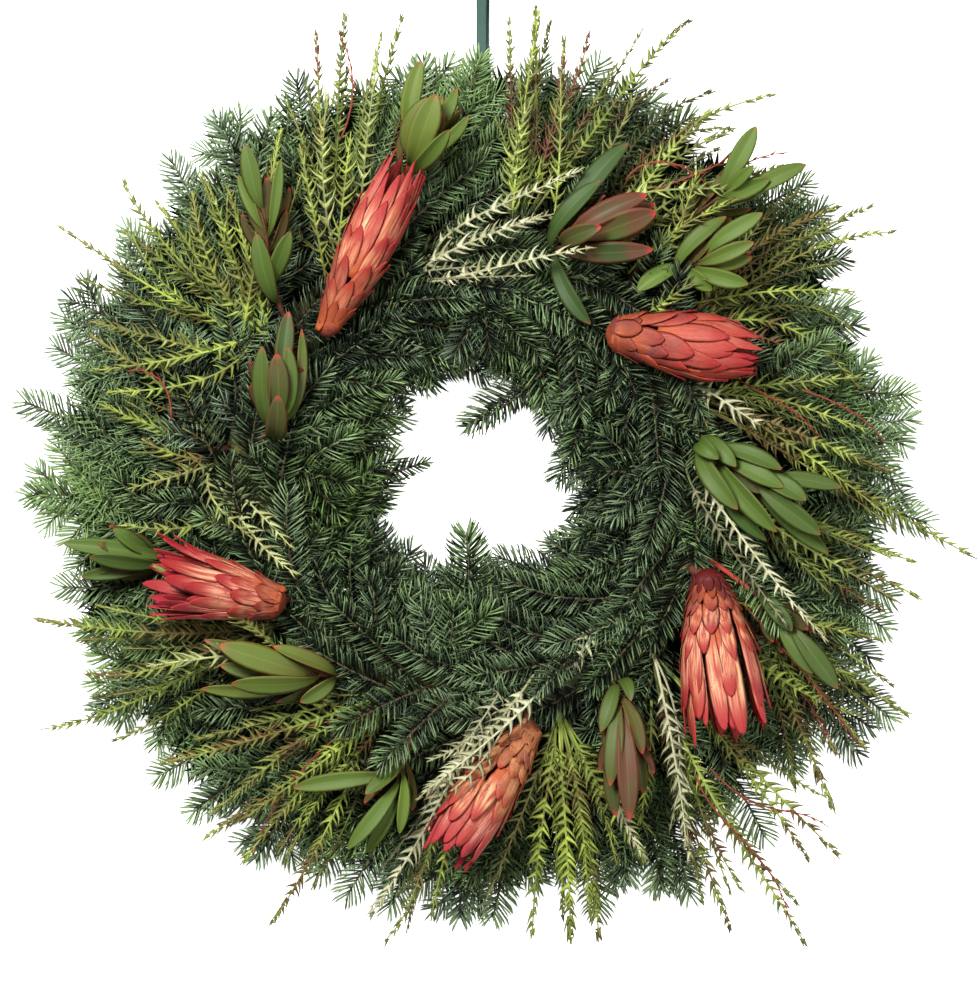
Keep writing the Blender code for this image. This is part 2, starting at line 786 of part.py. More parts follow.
def fused_ways(start, direction, targets, reach, lifts=LIFTS):
    """Ways to a tip: straight past the targets first, then raised or lowered by each lift."""
    for lift in lifts:
        raised = [t + Vector((0, 0, lift * MM * (i + 1) / len(targets)))
                  for i, t in enumerate(targets)]
        yield Path([start, start + direction * reach * MM] + raised)


def seated_ways(moss, degrees, tilt, targets, reach, lifts=LIFTS):
    """The same from the moss, at the given angle first and then a little to each side."""
    for shift in SHIFTS_DEG:
        start, normal = seat(moss, degrees + shift, tilt)
        yield from fused_ways(start, normal, targets, reach, lifts)


def stub(moss, degrees, tilt, neighbours):
    """The short thick foot of a bunch, from the moss out."""
    for shift in SHIFTS_DEG:
        start, normal = seat(moss, degrees + shift, tilt)
        around = Vector((0, 0, 1)).cross(start - spot(0, 0, start.z / MM))
        path = Path([start, start + normal * STUB_LENGTH * MM], around)
        stations = ((0.0, STUB_RADIUS), (STUB_LENGTH * 0.7, STUB_RADIUS * 0.8))
        wide = rod(path, stations, (0.0, 0.0), STUB_SIDES, CLEAR)[0]
        if neighbours.free(wide.points, wide.faces):
            return rod(path, stations, (0.0, 0.0), STUB_SIDES)[0], start, normal
    raise ValueError("a bunch has no room for its foot")


def bloom_radius(share, widest, openness):
    """How far a bloom's outer face stands from its axis, at a share of its length."""
    if share < HEAD_WIDEST_AT:
        grown = math.sin(math.pi / 2 * share / HEAD_WIDEST_AT)
        return widest * (HEAD_BASE + (1 - HEAD_BASE) * grown)
    past = (share - HEAD_WIDEST_AT) / (1 - HEAD_WIDEST_AT)
    return widest * (1 + (openness - 1) * past ** HEAD_BEND)


def bloom_shell(base, tip, widest, openness, rows, count, long_share, chance):
    """The head of a bloom: rings of a slim core, with a bract drawn out of every face
    that points up, so that each row overlaps the next one like roof tiles."""
    axis = tip - base
    length = axis.length / MM
    forward = axis.normalized()
    side = forward.cross(Vector((0, 0, 1))).normalized()
    up = side.cross(forward)
    half = TURN / count / 2

    def place(share, radius, angle):
        out = side * math.cos(angle) + up * math.sin(angle)
        return base + axis * share + out * radius * MM

    shell = Shell()
    rings = []
    shares = [i / rows * BRACT_ROOTS for i in range(rows + 1)]
    for i, share in enumerate(shares):
        radius = bloom_radius(share, widest, openness) - BRACT_ROOT_DEPTH
        if i == rows:
            radius *= HEAD_TOP_RING
        rings.append(shell.ring([place(share, radius, -half * (2 * j + i)) for j in range(count)]))
    shell.root(rings[0])
    for i in range(rows):
        low, high = rings[i], rings[i + 1]
        reach = BRACT_FIRST + (long_share - BRACT_FIRST) * i / (rows - 1)
        for j in range(count):
            k = (j + 1) % count
            shell.faces.append((low[k], high[k], high[j]))
            angle = -half * (2 * j + i + 1)
            grown = reach * chance.uniform(*BRACT_CHANCE)
            if i == rows - 1:
                grown = (1.0 - shares[i]) * chance.uniform(*TOP_BRACT_CHANCE)
            middle_share = shares[i] + grown * 0.5
            middle = bloom_radius(middle_share, widest, openness) + BRACT_PROUD
            wide = 2 * middle * math.tan(half) * BRACT_FILL
            across = side * -math.sin(angle) + up * math.cos(angle)
            centre = place(middle_share, middle, angle)
            edge = across * wide / 2 * MM
            keel = place(middle_share, middle - BRACT_THICKNESS, angle)
            mids = shell.ring([centre + edge, centre - edge, keel])
            end_share = shares[i] + grown
            end = bloom_radius(min(end_share, 1.0), widest, openness)
            end += chance.uniform(*BRACT_TIP_OUT)
            roots = (low[j], low[k], high[j])
            shell.band(roots, mids)
            shell.tip(mids, place(end_share, end, angle))
    shell.tip(rings[-1], base + axis * HEAD_HEART)
    return shell


def protea(moss, base, tip, widest, openness, rows, count, long_share, chance, neighbours):
    """A stem from the moss, and the head that it carries."""
    base, tip = spot(*base), spot(*tip)
    forward = (tip - base).normalized()
    from_middle = base - spot(0, 0, 0)
    degrees = math.degrees(math.atan2(from_middle.y, from_middle.x))
    reach = math.hypot(from_middle.x, from_middle.y) / MM
    tilt = TILT_OUTSIDE if reach > MOSS_RADIUS else TILT_INSIDE
    targets = [base - forward * 12 * MM, base + forward * 8 * MM]
    ways = seated_ways(moss, degrees, tilt, targets, PROTEA_REACH, (0.0,))
    thick, slim = PROTEA_STEM
    stem = clear_path(ways, PROTEA_STEM_FREE, slim, neighbours)
    stations = ((0.0, thick), (stem.length / MM * 0.6, slim))
    return [
        bloom_shell(base, tip, widest, openness, rows, count, long_share, chance),
        rod(stem, stations, (0.0, 0.0), PROTEA_STEM_SIDES)[0],
    ]


def leaf_path(root, along, base, tip):
    """A leaf's way: steeply out of its stem, over by the base, and down to the tip."""
    toward = base - root
    out = (toward - toward.dot(along) * along).normalized()
    first = root + (out + 0.5 * along).normalized() * max(toward.length * 0.7, LEAF_FIRST * MM)
    belly = base.lerp(tip, 0.5) + Vector((0, 0, LEAF_ARCH * (tip - base).length))
    return Path([root, first, belly, tip])


def leaf(path, width, start=0.0):
    """A lance leaf along a path: slim at its foot, widest past the middle, and pointed."""
    run = path.length / MM
    stations = [(run * start, LEAF_FOOT)]
    stations += [(run * along, width * wide) for along, wide in LEAF_WIDTHS]
    return blade(path, stations, LEAF_THICKNESS)


def leucadendron(moss, degrees, tilt, way, leaves, neighbours):
    """A stem from the moss, with its leaves fused to it."""
    via, end = (spot(*p) for p in way)
    ways = seated_ways(moss, degrees, tilt, [via, end], SHOOT_REACH)
    path = clear_path(ways, *SHOOT_STEM, neighbours)
    shells = [stem_core(path, *SHOOT_STEM, 0.0)]
    own = Neighbours()
    for x0, y0, z0, x1, y1, z1, width in leaves:
        base, tip = spot(x0, y0, z0), spot(x1, y1, z1)
        back = base - (tip - base).normalized() * LEAF_BACK * MM
        stops = [path.at(path.length * s / 40) for s in range(12, 38)]
        root, along, _, _ = min(stops, key=lambda stop: (stop[0] - back).length)
        for lift in LEAF_LIFTS:
            up = Vector((0, 0, lift * MM))
            grown_path = leaf_path(root, along, base + up * 0.7, tip + up)
            grown = leaf(grown_path, width)
            outer = leaf(grown_path, width, LEAF_CLEAR_FROM)
            if neighbours.free(grown.points, grown.faces) and own.free(outer.points, outer.faces):
                shells.append(grown)
                own.add([outer])
                break
        else:
            raise ValueError("a leaf has no clear place")
    return shells


def sprig(path, neighbours):
    """A rib with a pair of pointed lobes at each step."""
    length = path.length / MM
    bare = length * RIB_BARE
    stations = [(0.0, RIB_ROOT), (bare * 0.5, RIB_ROOT)]
    steps = evenly(bare, length - RIB_END, LOBE_STEP)
    for distance in steps:
        stations.append((distance, RIB_ROOT + (RIB_TIP - RIB_ROOT) * distance / length))
    turn = TURN / 12
    shell, bands = rod(path, stations, [turn] * len(stations))
    sweep = math.radians(LOBE_SWEEP_DEG)
    for k, distance in enumerate(steps[:-1]):
        _, forward, side, up = path.at((distance + LOBE_STEP * 0.4) * MM)
        size = LOBE_LENGTH * (1.0 + (LAST_LOBES - 1.0) * k / len(steps))
        if k == 0:
            size *= FIRST_LOBES
        for j, half, lean in ((1, 1, 1), (2, 0, -1)):
            direction = side * lean * -math.cos(sweep) + forward * math.sin(sweep)
            direction = (direction + up * LOBE_RISE).normalized()
            grow_spike(shell, bands[k + 2] + 2 * j + half, direction, size, neighbours)
    return shell


def grevillea(moss, degrees, tilt, sprigs, neighbours):
    """A bunch: a short foot in the moss, and the sprigs fanned out of it."""
    foot, start, normal = stub(moss, degrees, tilt, neighbours)
    shells = [foot]
    own = Neighbours()
    own.solids = list(neighbours.solids)
    for i, (x0, y0, z0, x1, y1, z1) in enumerate(sprigs):
        targets = [spot(x0, y0, z0), spot(x1, y1, z1)]
        root = start + normal * (SPRIG_FIRST + SPRIG_APART * i) * MM
        way = (normal + SPRIG_TOWARD * (targets[0] - root).normalized()).normalized()
        ways = fused_ways(root, way, targets, SPRIG_REACH)
        path = clear_path(ways, RIB_ROOT, RIB_TIP, neighbours)
        shells.append(sprig(path, own))
        own.add(shells[-1:])
    return shells


def fir_bough(moss, degrees, tilt, tip, twigs, bare, neighbours):
    """A bough: its main twig from the moss, and side twigs in its plane."""
    reach = BOUGH_REACH * (tip - seat(moss, degrees, tilt)[0]).length / MM
    main_ways = seated_ways(moss, degrees, tilt, [tip], reach)
    path = clear_path(main_ways, FIR_MAIN_WOOD, FIR_TIP_WOOD, neighbours)
    ways = [(path, bare, FIR_MAIN_WOOD)]
    for share, swing, side_reach in twigs:
        place, forward, _, _ = path.at(path.length * share)
        flat = Vector((forward.x, forward.y, 0)).normalized()
        way = Matrix.Rotation(math.radians(swing), 3, "Z") @ flat
        end = place + way * side_reach * MM
        end.z = tip.z + (place.z - tip.z) * SIDE_DROP
        side_ways = fused_ways(place, (forward + way).normalized(), [end],
                               side_reach * BOUGH_REACH)
        found = clear_path(side_ways, FIR_WOOD, FIR_TIP_WOOD, neighbours)
        ways.append((found, TWIG_BARE, FIR_WOOD))
    cores = [stem_core(way, wood, FIR_TIP_WOOD, 0.0) for way, _, wood in ways]
    shells = []
    for i, (way, start, wood) in enumerate(ways):
        own = Neighbours()
        own.solids = list(neighbours.solids)
        own.add(shells + cores[:i] + cores[i + 1:])
        shells.append(fir_twig(way, start, wood, own))
    return shells


def mesh_object(name, shell):
    mesh = bpy.data.meshes.new(name)
    mesh.from_pydata([tuple(p) for p in shell.points], [], shell.faces)
    return bpy.data.objects.new(name, mesh)


def material(name, color, roughness, metallic=0.0):
    made = bpy.data.materials.new(name)
    made.use_nodes = True
    shader = made.node_tree.nodes["Principled BSDF"]
    shader.inputs["Base Color"].default_value = (*color, 1)
    shader.inputs["Roughness"].default_value = roughness
    shader.inputs["Metallic"].default_value = metallic
    made.diffuse_color = (*color, 1)
    return made


def add_node(name, shells, surface):
    """One node: its shells joined by a Boolean union, which is applied."""
    body = mesh_object(name, shells[0])
    bpy.context.scene.collection.objects.link(body)
    if len(shells) > 1:
        others = bpy.data.collections.new(name + "_pieces")
        bpy.context.scene.collection.children.link(others)
        for i, shell in enumerate(shells[1:]):
            others.objects.link(mesh_object(f"{name}_piece_{i}", shell))
        union = body.modifiers.new("Join", "BOOLEAN")
        union.operation = "UNION"
        union.operand_type = "COLLECTION"
        union.collection = others
        union.solver = "MANIFOLD"
        bpy.context.view_layer.update()
        graph = bpy.context.evaluated_depsgraph_get()
        joined = bpy.data.meshes.new_from_object(body.evaluated_get(graph))
        body.modifiers.remove(union)
        body.data = joined
        for piece in list(others.objects):
            bpy.data.objects.remove(piece)
        bpy.data.collections.remove(others)
    body.data.name = name
    body.data.materials.clear()
    body.data.materials.append(surface)
    return body


def clear_scene():
    for item in list(bpy.data.objects):
        bpy.data.objects.remove(item)


def hole_space():
    """The clear space in the hole, as a closed box."""
    shell = Shell()
    (x0, y0), (x1, y1) = HOLE_LOW, HOLE_HIGH
    ends = []
    for z in (0.0, HOLE_TOP):
        ends.append(shell.ring([spot(x0, y0, z), spot(x1, y0, z), spot(x1, y1, z), spot(x0, y1, z)]))
    shell.root(ends[0])
    shell.band(ends[0], ends[1])
    shell.end(ends[1])
    return shell


def main():
    clear_scene()
    steel = material("galvanised_wire", (0.35, 0.36, 0.36), 0.45, 0.8)
    moss_green = material("moss", (0.10, 0.11, 0.04), 0.95)
    green_wire = material("green_wire", (0.03, 0.10, 0.05), 0.5, 0.3)
    ribbon_green = material("ribbon", (0.02, 0.09, 0.07), 0.6)
    bloom = material("protea_bract", (0.62, 0.14, 0.09), 0.55)
    shoot = material("leucadendron_leaf", (0.17, 0.28, 0.06), 0.45)
    lobe = material("grevillea_leaf", (0.21, 0.30, 0.05), 0.55)
    needle = material("fir_needle", (0.04, 0.11, 0.05), 0.5)

    chance = random.Random(SEED)
    neighbours = Neighbours()
    neighbours.add([hole_space()])

    def keep(name, shells, surface):
        add_node(name, shells, surface)
        neighbours.add(shells)

    ring = hoop_shell(moss_profile(), MOSS_SEGMENTS)
    moss = BVHTree.FromPolygons(ring.points, ring.faces)
    keep("wire_frame", wire_frame_shells(), steel)
    keep("moss_ring", [ring], moss_green)
    keep("binding_wire", [wire_shell(binding_points(), BINDING_WIRE)], green_wire)
    keep("hanging_ribbon", [ribbon_shell()], ribbon_green)
    for name, base, tip, widest, openness, rows, count, long_share in PROTEAS:
        shells = protea(moss, base, tip, widest, openness, rows, count, long_share, chance,
                        neighbours)
        keep(name, shells, bloom)
    for name, degrees, tilt, way, leaves in LEUCADENDRONS:
        keep(name, leucadendron(moss, degrees, tilt, way, leaves, neighbours), shoot)
    for name, degrees, tilt, sprigs in GREVILLEAS:
        keep(name, grevillea(moss, degrees, tilt, sprigs, neighbours), lobe)
    for name, degrees, tilt, tip in FIR_TOP:
        shells = fir_bough(moss, degrees, tilt, spot(*tip), TOP_TWIGS, TOP_BARE, neighbours)
        keep(name, shells, needle)
    for name, degrees, tilt, tip in FIR_INNER:
        shells = fir_bough(moss, degrees, tilt, spot(*tip), INNER_TWIGS, INNER_BARE, neighbours)
        keep(name, shells, needle)
    for i, (degrees, reach) in enumerate(FIR_BACK):
        tip = polar(reach, degrees, BACK_TIP_Z)
        shells = fir_bough(moss, degrees, 0, tip, BACK_TWIGS, BACK_BARE, neighbours)
        keep(f"fir_back_{i + 1}", shells, needle)


main()
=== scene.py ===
"""The looks of the protea wreath: every piece of the model grown again in full detail.

The layout tables are the model's own, in millimetres from the middle of the ring: x to
the right, y towards the ribbon, z up. Fir boughs, sprigs, shoots and blooms grow along the
same lines as their solids, and each one replaces its solid.
"""

import json
import math

import bpy
import numpy as np
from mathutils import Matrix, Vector, noise

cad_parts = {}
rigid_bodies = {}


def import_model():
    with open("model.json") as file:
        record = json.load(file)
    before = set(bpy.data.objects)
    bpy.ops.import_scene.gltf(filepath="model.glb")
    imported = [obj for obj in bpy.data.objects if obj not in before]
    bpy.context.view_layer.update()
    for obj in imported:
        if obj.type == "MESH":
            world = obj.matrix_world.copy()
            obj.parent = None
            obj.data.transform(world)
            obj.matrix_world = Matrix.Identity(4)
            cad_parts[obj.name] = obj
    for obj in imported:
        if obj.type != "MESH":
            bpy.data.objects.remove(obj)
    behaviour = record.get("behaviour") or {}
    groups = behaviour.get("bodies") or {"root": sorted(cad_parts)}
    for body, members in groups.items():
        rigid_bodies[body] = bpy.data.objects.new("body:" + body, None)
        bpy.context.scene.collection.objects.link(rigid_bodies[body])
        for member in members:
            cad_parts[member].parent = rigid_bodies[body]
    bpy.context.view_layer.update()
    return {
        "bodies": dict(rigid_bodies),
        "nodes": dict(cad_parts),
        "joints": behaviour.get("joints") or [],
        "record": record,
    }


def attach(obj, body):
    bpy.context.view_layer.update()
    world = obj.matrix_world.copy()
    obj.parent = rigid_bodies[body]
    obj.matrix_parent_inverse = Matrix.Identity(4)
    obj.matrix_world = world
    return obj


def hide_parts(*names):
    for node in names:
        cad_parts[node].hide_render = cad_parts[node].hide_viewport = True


MM = 0.001
TURN = 2 * math.pi
UP = np.array((0.0, 0.0, 1.0))
SEED = 11

# Points that a line is drawn through, the tint of what has none, and the angle from which
# an edge is sharp
WAY_SAMPLES = 24
PLAIN = (0, 0, 0)
SHARP_DEG = 35.0

# Material slots of a growth: its leaves, its wood, and its curls or the fir below painted dark as
# shade
LEAF_SLOT, WOOD_SLOT, THIRD_SLOT = 0, 1, 2

# The middle of the ring, seen from the origin
RING_X, RING_Y = -16.9, -3.5

# The photograph: its size, the middle of the ring on it, and millimetres to a pixel
PHOTO_WIDTH, PHOTO_HEIGHT = 980, 981
RING_PIXEL = (475.0, 480.0)
MM_PER_PIXEL = 0.68
CAMERA_DISTANCE = 4000.0
CAMERA_PLANE = 50.0
SENSOR = 36.0

# Lights, in metres: name, place, width and power. Then what they aim at, the light from all
# round, and the floor's half width and own glow
LIGHTS = (("key", (-0.7, 0.9, 1.7), 0.8, 56), ("fill", (0.9, -0.3, 1.9), 1.2, 18))
LIGHT_AIM = (0, 0, 0.03)
WORLD_LIGHT = 0.09
FLOOR_HALF = 3
FLOOR_GLOW = 0.78

# Wire frame. The rounded end of a bar: how far in, share of the width
HOOP_RADII = (140.0, 156.0)
HOOP_WIRE = 2.0
HOOP_HEIGHT = 4.6
HOOP_STEPS, HOOP_SIDES = 96, 10
BAR_COUNT = 6
BAR_FIRST_DEG = 15.0
BAR_SPAN = (133.0, 163.0)
BAR_WIDTH = 8.0
BAR_THICKNESS = 3.2
BAR_EDGE = 0.5
BAR_ENDS = ((0.0, 0.3), (0.8, 0.7), (2.4, 1.0))

# Moss ring. Its lumps: how high, how fine
MOSS_RADIUS = 148.0
MOSS_HALF_WIDTH = 24.0
MOSS_HALF_HEIGHT = 17.5
MOSS_BOTTOM = 7.0
MOSS_MIDDLE = MOSS_BOTTOM + MOSS_HALF_HEIGHT
MOSS_STEPS, MOSS_SIDES = 288, 44
MOSS_ROUNDNESS = 3.2
MOSS_WIDTH_SHARE = 0.97
MOSS_LUMPS = ((1.6, 0.09), (0.9, 0.3))
MOSS_SMOOTH_BELOW = 4.0
MOSS_FIBRES = 4000
FIBRE_ROOT = 0.97
FIBRE_LENGTHS = (3.5, 8.0)
FIBRE_WIDTHS = (0.5, 1.0)

# Binding wire
BINDING_TURNS = 12
BINDING_WIRE = 0.45
BINDING_GAP = 1.2
BINDING_UNDER = 1.8
BINDING_UNDER_X = 12.5
BINDING_CORNERS = 8
BINDING_ROUNDING = 0.3
BINDING_FIRST_DEG = 12.0
BINDING_SPAN_DEG = 348.0

# Ribbon
RIBBON_WIDTH = 7.0
RIBBON_THICKNESS = 0.6
RIBBON_X = 4.3
RIBBON_BESIDE = 2.0
RIBBON_START = 158.6
RIBBON_REACH = 352.0
RIBBON_LOWER_Z = 0.9
RIBBON_UPPER_Z = 2.6
RIBBON_LOOP_Z = 10.0

# Needles, moss fibres and lobes: shape as (share of the length, share of the width)
NEEDLE_SHAPE = ((0.0, 0.8), (0.76, 1.0))
NEEDLE_WIDTH = 1.35
NEEDLE_LENGTH = 17.2
UNDER_SHAPE = ((0.0, 1.3),)
UNDER_STEP = 2.4
UNDER_LENGTHS = (14, 19)
UNDER_WIDTHS = (2.2, 3.0)
FIBRE_SHAPE = ((0.0, 1.0), (0.6, 0.6))
LOBE_SHAPE = ((0.0, 1.45), (0.2, 0.82), (0.58, 0.38))

# Protea blooms: base x y z, tip x y z, widest radius
PROTEAS = (
    ("protea_1", (-99, 105, 68), (-46, 212, 86), 19),
    ("protea_2", (97, 99, 70), (197, 83, 86), 23),
    ("protea_3", (158, -68, 70), (172, -177, 84), 27),
    ("protea_4", (36, -171, 66), (-22, -255, 84), 21),
    ("protea_5", (-136, -82, 68), (-218, -64, 84), 21),
)

# Leucadendron shoots 1 to 12: root angle on the ring, root tilt on its section, a point
# that the stem is drawn past and its end, and its leaves.
# A leaf: base x y z, tip x y z, width.
LEUCADENDRONS = (
    (108, 70, ((-60, 184, 60), (-34, 236, 88)), (
        (-41, 214, 96, -26, 259, 100, 19), (-55, 226, 88, -31, 257, 92, 14),
        (-52, 240, 80, -36, 283, 80, 13), (-24, 232, 86, -12, 264, 86, 10),
        (-38, 205, 100, -17, 235, 106, 13), (-22, 216, 90, -4, 245, 92, 9),
        (-36, 236, 82, -22, 258, 78, 14),
    )),
    (72, 70, ((44, 150, 66), (84, 170, 84)), (
        (56, 170, 93, 116, 192, 90, 14), (78, 163, 90, 122, 180, 96, 19),
        (56, 148, 88, 120, 155, 90, 15), (52, 160, 94, 85, 170, 104, 13),
        (36, 164, 82, 85, 202, 84, 13), (56, 190, 70, 104, 228, 68, 15),
        (74, 174, 78, 122, 186, 78, 12), (46, 134, 80, 78, 105, 84, 12),
    )),
    (172, 70, ((-131, 24, 66), (-132, 60, 84)), (
        (-145, 36, 86, -143, 90, 92, 14), (-130, 40, 88, -133, 85, 96, 15),
        (-120, 36, 86, -126, 90, 90, 12), (-112, 30, 80, -117, 102, 80, 8),
        (-133, 14, 92, -132, 57, 106, 14), (-131, 72, 74, -126, 114, 72, 12),
    )),
    (141, 70, ((-138, 112, 70), (-143, 190, 78)), (
        (-140, 120, 84, -147, 166, 90, 13), (-138, 134, 86, -124, 167, 92, 13),
        (-136, 172, 84, -131, 216, 84, 8), (-147, 194, 84, -155, 226, 86, 13),
        (-146, 176, 80, -160, 206, 74, 9),
    )),
    (14, 70, ((134, 30, 64), (196, -6, 76)), (
        (140, 18, 86, 177, -20, 92, 14), (162, 5, 88, 203, -35, 94, 15),
        (156, -14, 80, 197, -41, 80, 11), (140, 34, 84, 164, 14, 90, 12),
        (156, 32, 80, 176, 9, 86, 12), (172, 28, 80, 207, 7, 84, 12),
        (176, 12, 82, 208, -5, 88, 12), (200, 5, 84, 223, -14, 90, 14),
        (200, -10, 80, 233, -37, 84, 14), (216, 2, 74, 248, -5, 72, 11),
        (212, -22, 72, 239, -50, 70, 12),
    )),
    (52, 70, ((124, 168, 58), (176, 198, 68)), (
        (170, 198, 72, 190, 239, 76, 13), (186, 200, 74, 224, 213, 76, 12),
        (170, 192, 70, 199, 203, 80, 12), (174, 198, 78, 188, 212, 86, 8),
    )),
    (44, 70, ((130, 138, 64), (160, 152, 76)), (
        (164, 160, 82, 194, 180, 86, 12), (158, 148, 84, 188, 160, 90, 11),
        (160, 142, 80, 187, 150, 84, 11), (154, 137, 84, 184, 132, 88, 12),
        (142, 140, 80, 160, 128, 78, 11), (128, 154, 76, 170, 178, 74, 12),
        (124, 142, 72, 110, 128, 74, 12),
    )),
    (342, 70, ((190, -72, 60), (216, -104, 70)), (
        (198, -78, 76, 214, -102, 80, 12), (208, -100, 74, 228, -131, 76, 12),
        (220, -106, 78, 245, -141, 78, 14),
    )),
    (306, 70, ((96, -136, 66), (100, -178, 82)), (
        (97, -133, 78, 85, -170, 82, 11), (103, -124, 84, 105, -149, 92, 9),
        (106, -146, 84, 113, -185, 84, 11), (97, -150, 86, 91, -206, 90, 13),
        (102, -154, 90, 104, -229, 94, 14), (88, -182, 78, 95, -227, 78, 11),
        (108, -168, 78, 114, -212, 72, 11),
    )),
    (237, 70, ((-84, -133, 64), (-116, -131, 78)), (
        (-114, -131, 92, -172, -111, 98, 18), (-86, -128, 86, -136, -112, 92, 11),
        (-122, -136, 86, -172, -125, 84, 12), (-108, -141, 90, -164, -137, 94, 14),
        (-146, -143, 80, -185, -141, 78, 10), (-140, -124, 78, -183, -108, 76, 10),
        (-92, -138, 80, -118, -150, 78, 11),
    )),
    (256, 70, ((-46, -188, 60), (-56, -214, 70)), (
        (-50, -208, 82, -86, -249, 82, 11), (-54, -196, 78, -74, -212, 84, 11),
        (-45, -206, 76, -51, -239, 74, 9), (-57, -222, 74, -73, -252, 70, 10),
        (-70, -198, 66, -123, -209, 60, 12),
    )),
    (196, 12, ((-200, -60, 34), (-236, -53, 46)), (
        (-213, -50, 51, -280, -43, 53, 12), (-218, -60, 46, -262, -52, 58, 12),
        (-224, -48, 50, -246, -33, 54, 11), (-228, -58, 44, -268, -66, 44, 10),
    )),
)

# Grevillea bunches 1 to 15: root angle on the ring, root tilt on its section, and the sprigs.
# A sprig: a point it is drawn past x y z, tip x y z.
GREVILLEAS = (
    (146, 56, (
        (-214, 124, 50, -287, 175, 40), (-200, 134, 54, -239, 205, 50),
        (-176, 134, 56, -217, 189, 62), (-164, 142, 50, -187, 210, 52),
        (-150, 140, 44, -133, 232, 60),
    )),
    (119, 40, (
        (-112, 160, 46, -117, 230, 62), (-100, 180, 40, -88, 318, 50),
        (-84, 196, 36, -49, 318, 44), (-104, 190, 44, -108, 304, 56),
    )),
    (101, 100, (
        (-56, 143, 66, 44, 177, 88), (-45, 131, 60, 77, 156, 98),
        (-30, 168, 62, 74, 211, 80),
    )),
    (81, 62, (
        (44, 250, 52, 41, 325, 40), (62, 246, 56, 77, 303, 50),
        (84, 252, 52, 146, 313, 42), (36, 222, 58, 30, 272, 60),
    )),
    (60, 58, (
        (98, 232, 56, 205, 263, 46), (110, 212, 60, 176, 238, 58),
        (120, 196, 64, 190, 208, 66),
    )),
    (34, 56, (
        (194, 156, 56, 286, 169, 44), (186, 166, 52, 248, 187, 46),
        (206, 128, 52, 262, 62, 46),
    )),
    (22, 92, (
        (142, 73, 62, 193, 37, 74), (160, 56, 60, 286, 5, 50),
        (180, 40, 58, 343, -54, 34), (190, 64, 54, 268, 34, 50),
    )),
    (4, 84, (
        (130, 20, 74, 238, -109, 90), (204, -36, 64, 305, -82, 44),
        (196, -30, 70, 289, -84, 60),
    )),
    (338, 30, (
        (206, -104, 40, 296, -161, 38), (200, -96, 34, 267, -184, 44),
        (204, -120, 28, 246, -228, 36),
    )),
    (316, 56, (
        (190, -200, 52, 248, -256, 40), (144, -194, 56, 226, -318, 38),
        (140, -222, 54, 174, -307, 42), (134, -164, 64, 143, -249, 62),
    )),
    (290, 60, (
        (50, -176, 68, 39, -310, 46), (60, -186, 66, 65, -316, 46),
        (72, -190, 64, 84, -315, 42), (80, -200, 60, 116, -260, 58),
    )),
    (271, 84, (
        (50, -140, 74, -16, -209, 104), (14, -170, 64, -33, -212, 78),
        (-16, -214, 60, -72, -297, 50), (-26, -262, 46, -62, -315, 34),
    )),
    (244, 62, (
        (-58, -160, 66, -184, -243, 48), (-64, -178, 60, -139, -303, 42),
        (-60, -152, 70, -214, -192, 54), (-90, -176, 58, -160, -262, 50),
    )),
    (216, 60, (
        (-188, -142, 54, -296, -170, 40), (-194, -110, 58, -299, -95, 44),
        (-190, -130, 62, -262, -132, 56),
    )),
    (173, 34, (
        (-178, 42, 48, -262, 99, 50), (-182, 6, 50, -226, 28, 62),
        (-184, 22, 44, -256, 52, 50),
    )),
)

# Fir over the ring: root angle and tilt, tip x y z. A bough's side twigs: share of the way,
# swing, length
TOP_TWIGS = ((0.24, 36, 46), (0.34, -36, 44))
FIR_TOP = (
    (2, 112, (84, 6, 64)),
    (88, 112, (10, 88, 62)),
    (176, 112, (-84, -2, 64)),
    (262, 112, (-14, -84, 62)),
)

# Fir towards the hole: the same
INNER_TWIGS = ((0.20, 38, 40), (0.28, -38, 38))
FIR_INNER = (
    (18, 172, (62, 24, 36)),
    (58, 168, (-4, 38, 44)),
    (112, 172, (-32, 66, 36)),
    (160, 172, (-58, 30, 32)),
    (193, 172, (-62, -14, 38)),
    (232, 172, (-44, -48, 32)),
    (272, 168, (-6, -36, 42)),
    (322, 172, (52, -42, 34)),
)

# Fir behind the rest: root angle, reach from the middle of the ring
BACK_TWIGS = ((0.20, 33, 92), (0.30, -33, 88), (0.06, 58, 62), (0.12, -58, 60),
              (0.48, 42, 54), (0.58, -42, 48), (0.74, 40, 30), (0.80, -40, 26))
BACK_TIP_Z = 20.0
FIR_BACK = (
    (8, 300), (38, 302), (68, 292), (97, 288), (126, 302), (156, 304),
    (182, 306), (211, 300), (240, 298), (268, 300), (297, 312), (328, 318),
)
FIR_ROOTS = {"fir_top": FIR_TOP, "fir_inner": FIR_INNER, "fir_back": FIR_BACK}

# The bare foot of each kind of bough, of its side twigs, and of the smaller twigs
TOP_BARE, INNER_BARE, BACK_BARE = 12.0, 8.0, 14.0
BOUGH_SIDE_BARE, TWIG_BARE, SIDE_BARE = 8.0, 6.0, 4.0

# The wood's radius at the foot of a bough, its side twigs, and the smaller twigs, and at every
# tip. Then the share of its fall that a side twig keeps, and the size of its needles
BOUGH_WOOD, BOUGH_SIDE_WOOD = 2.0, 1.5
SPRAY_WOOD, LOOSE_WOOD, SIDE_WOOD = 1.6, 1.4, 1.1
TIP_WOOD = 0.7
SIDE_FALL = 0.15
SIDE_NEEDLES = 0.95
LOOSE_SWING = 42

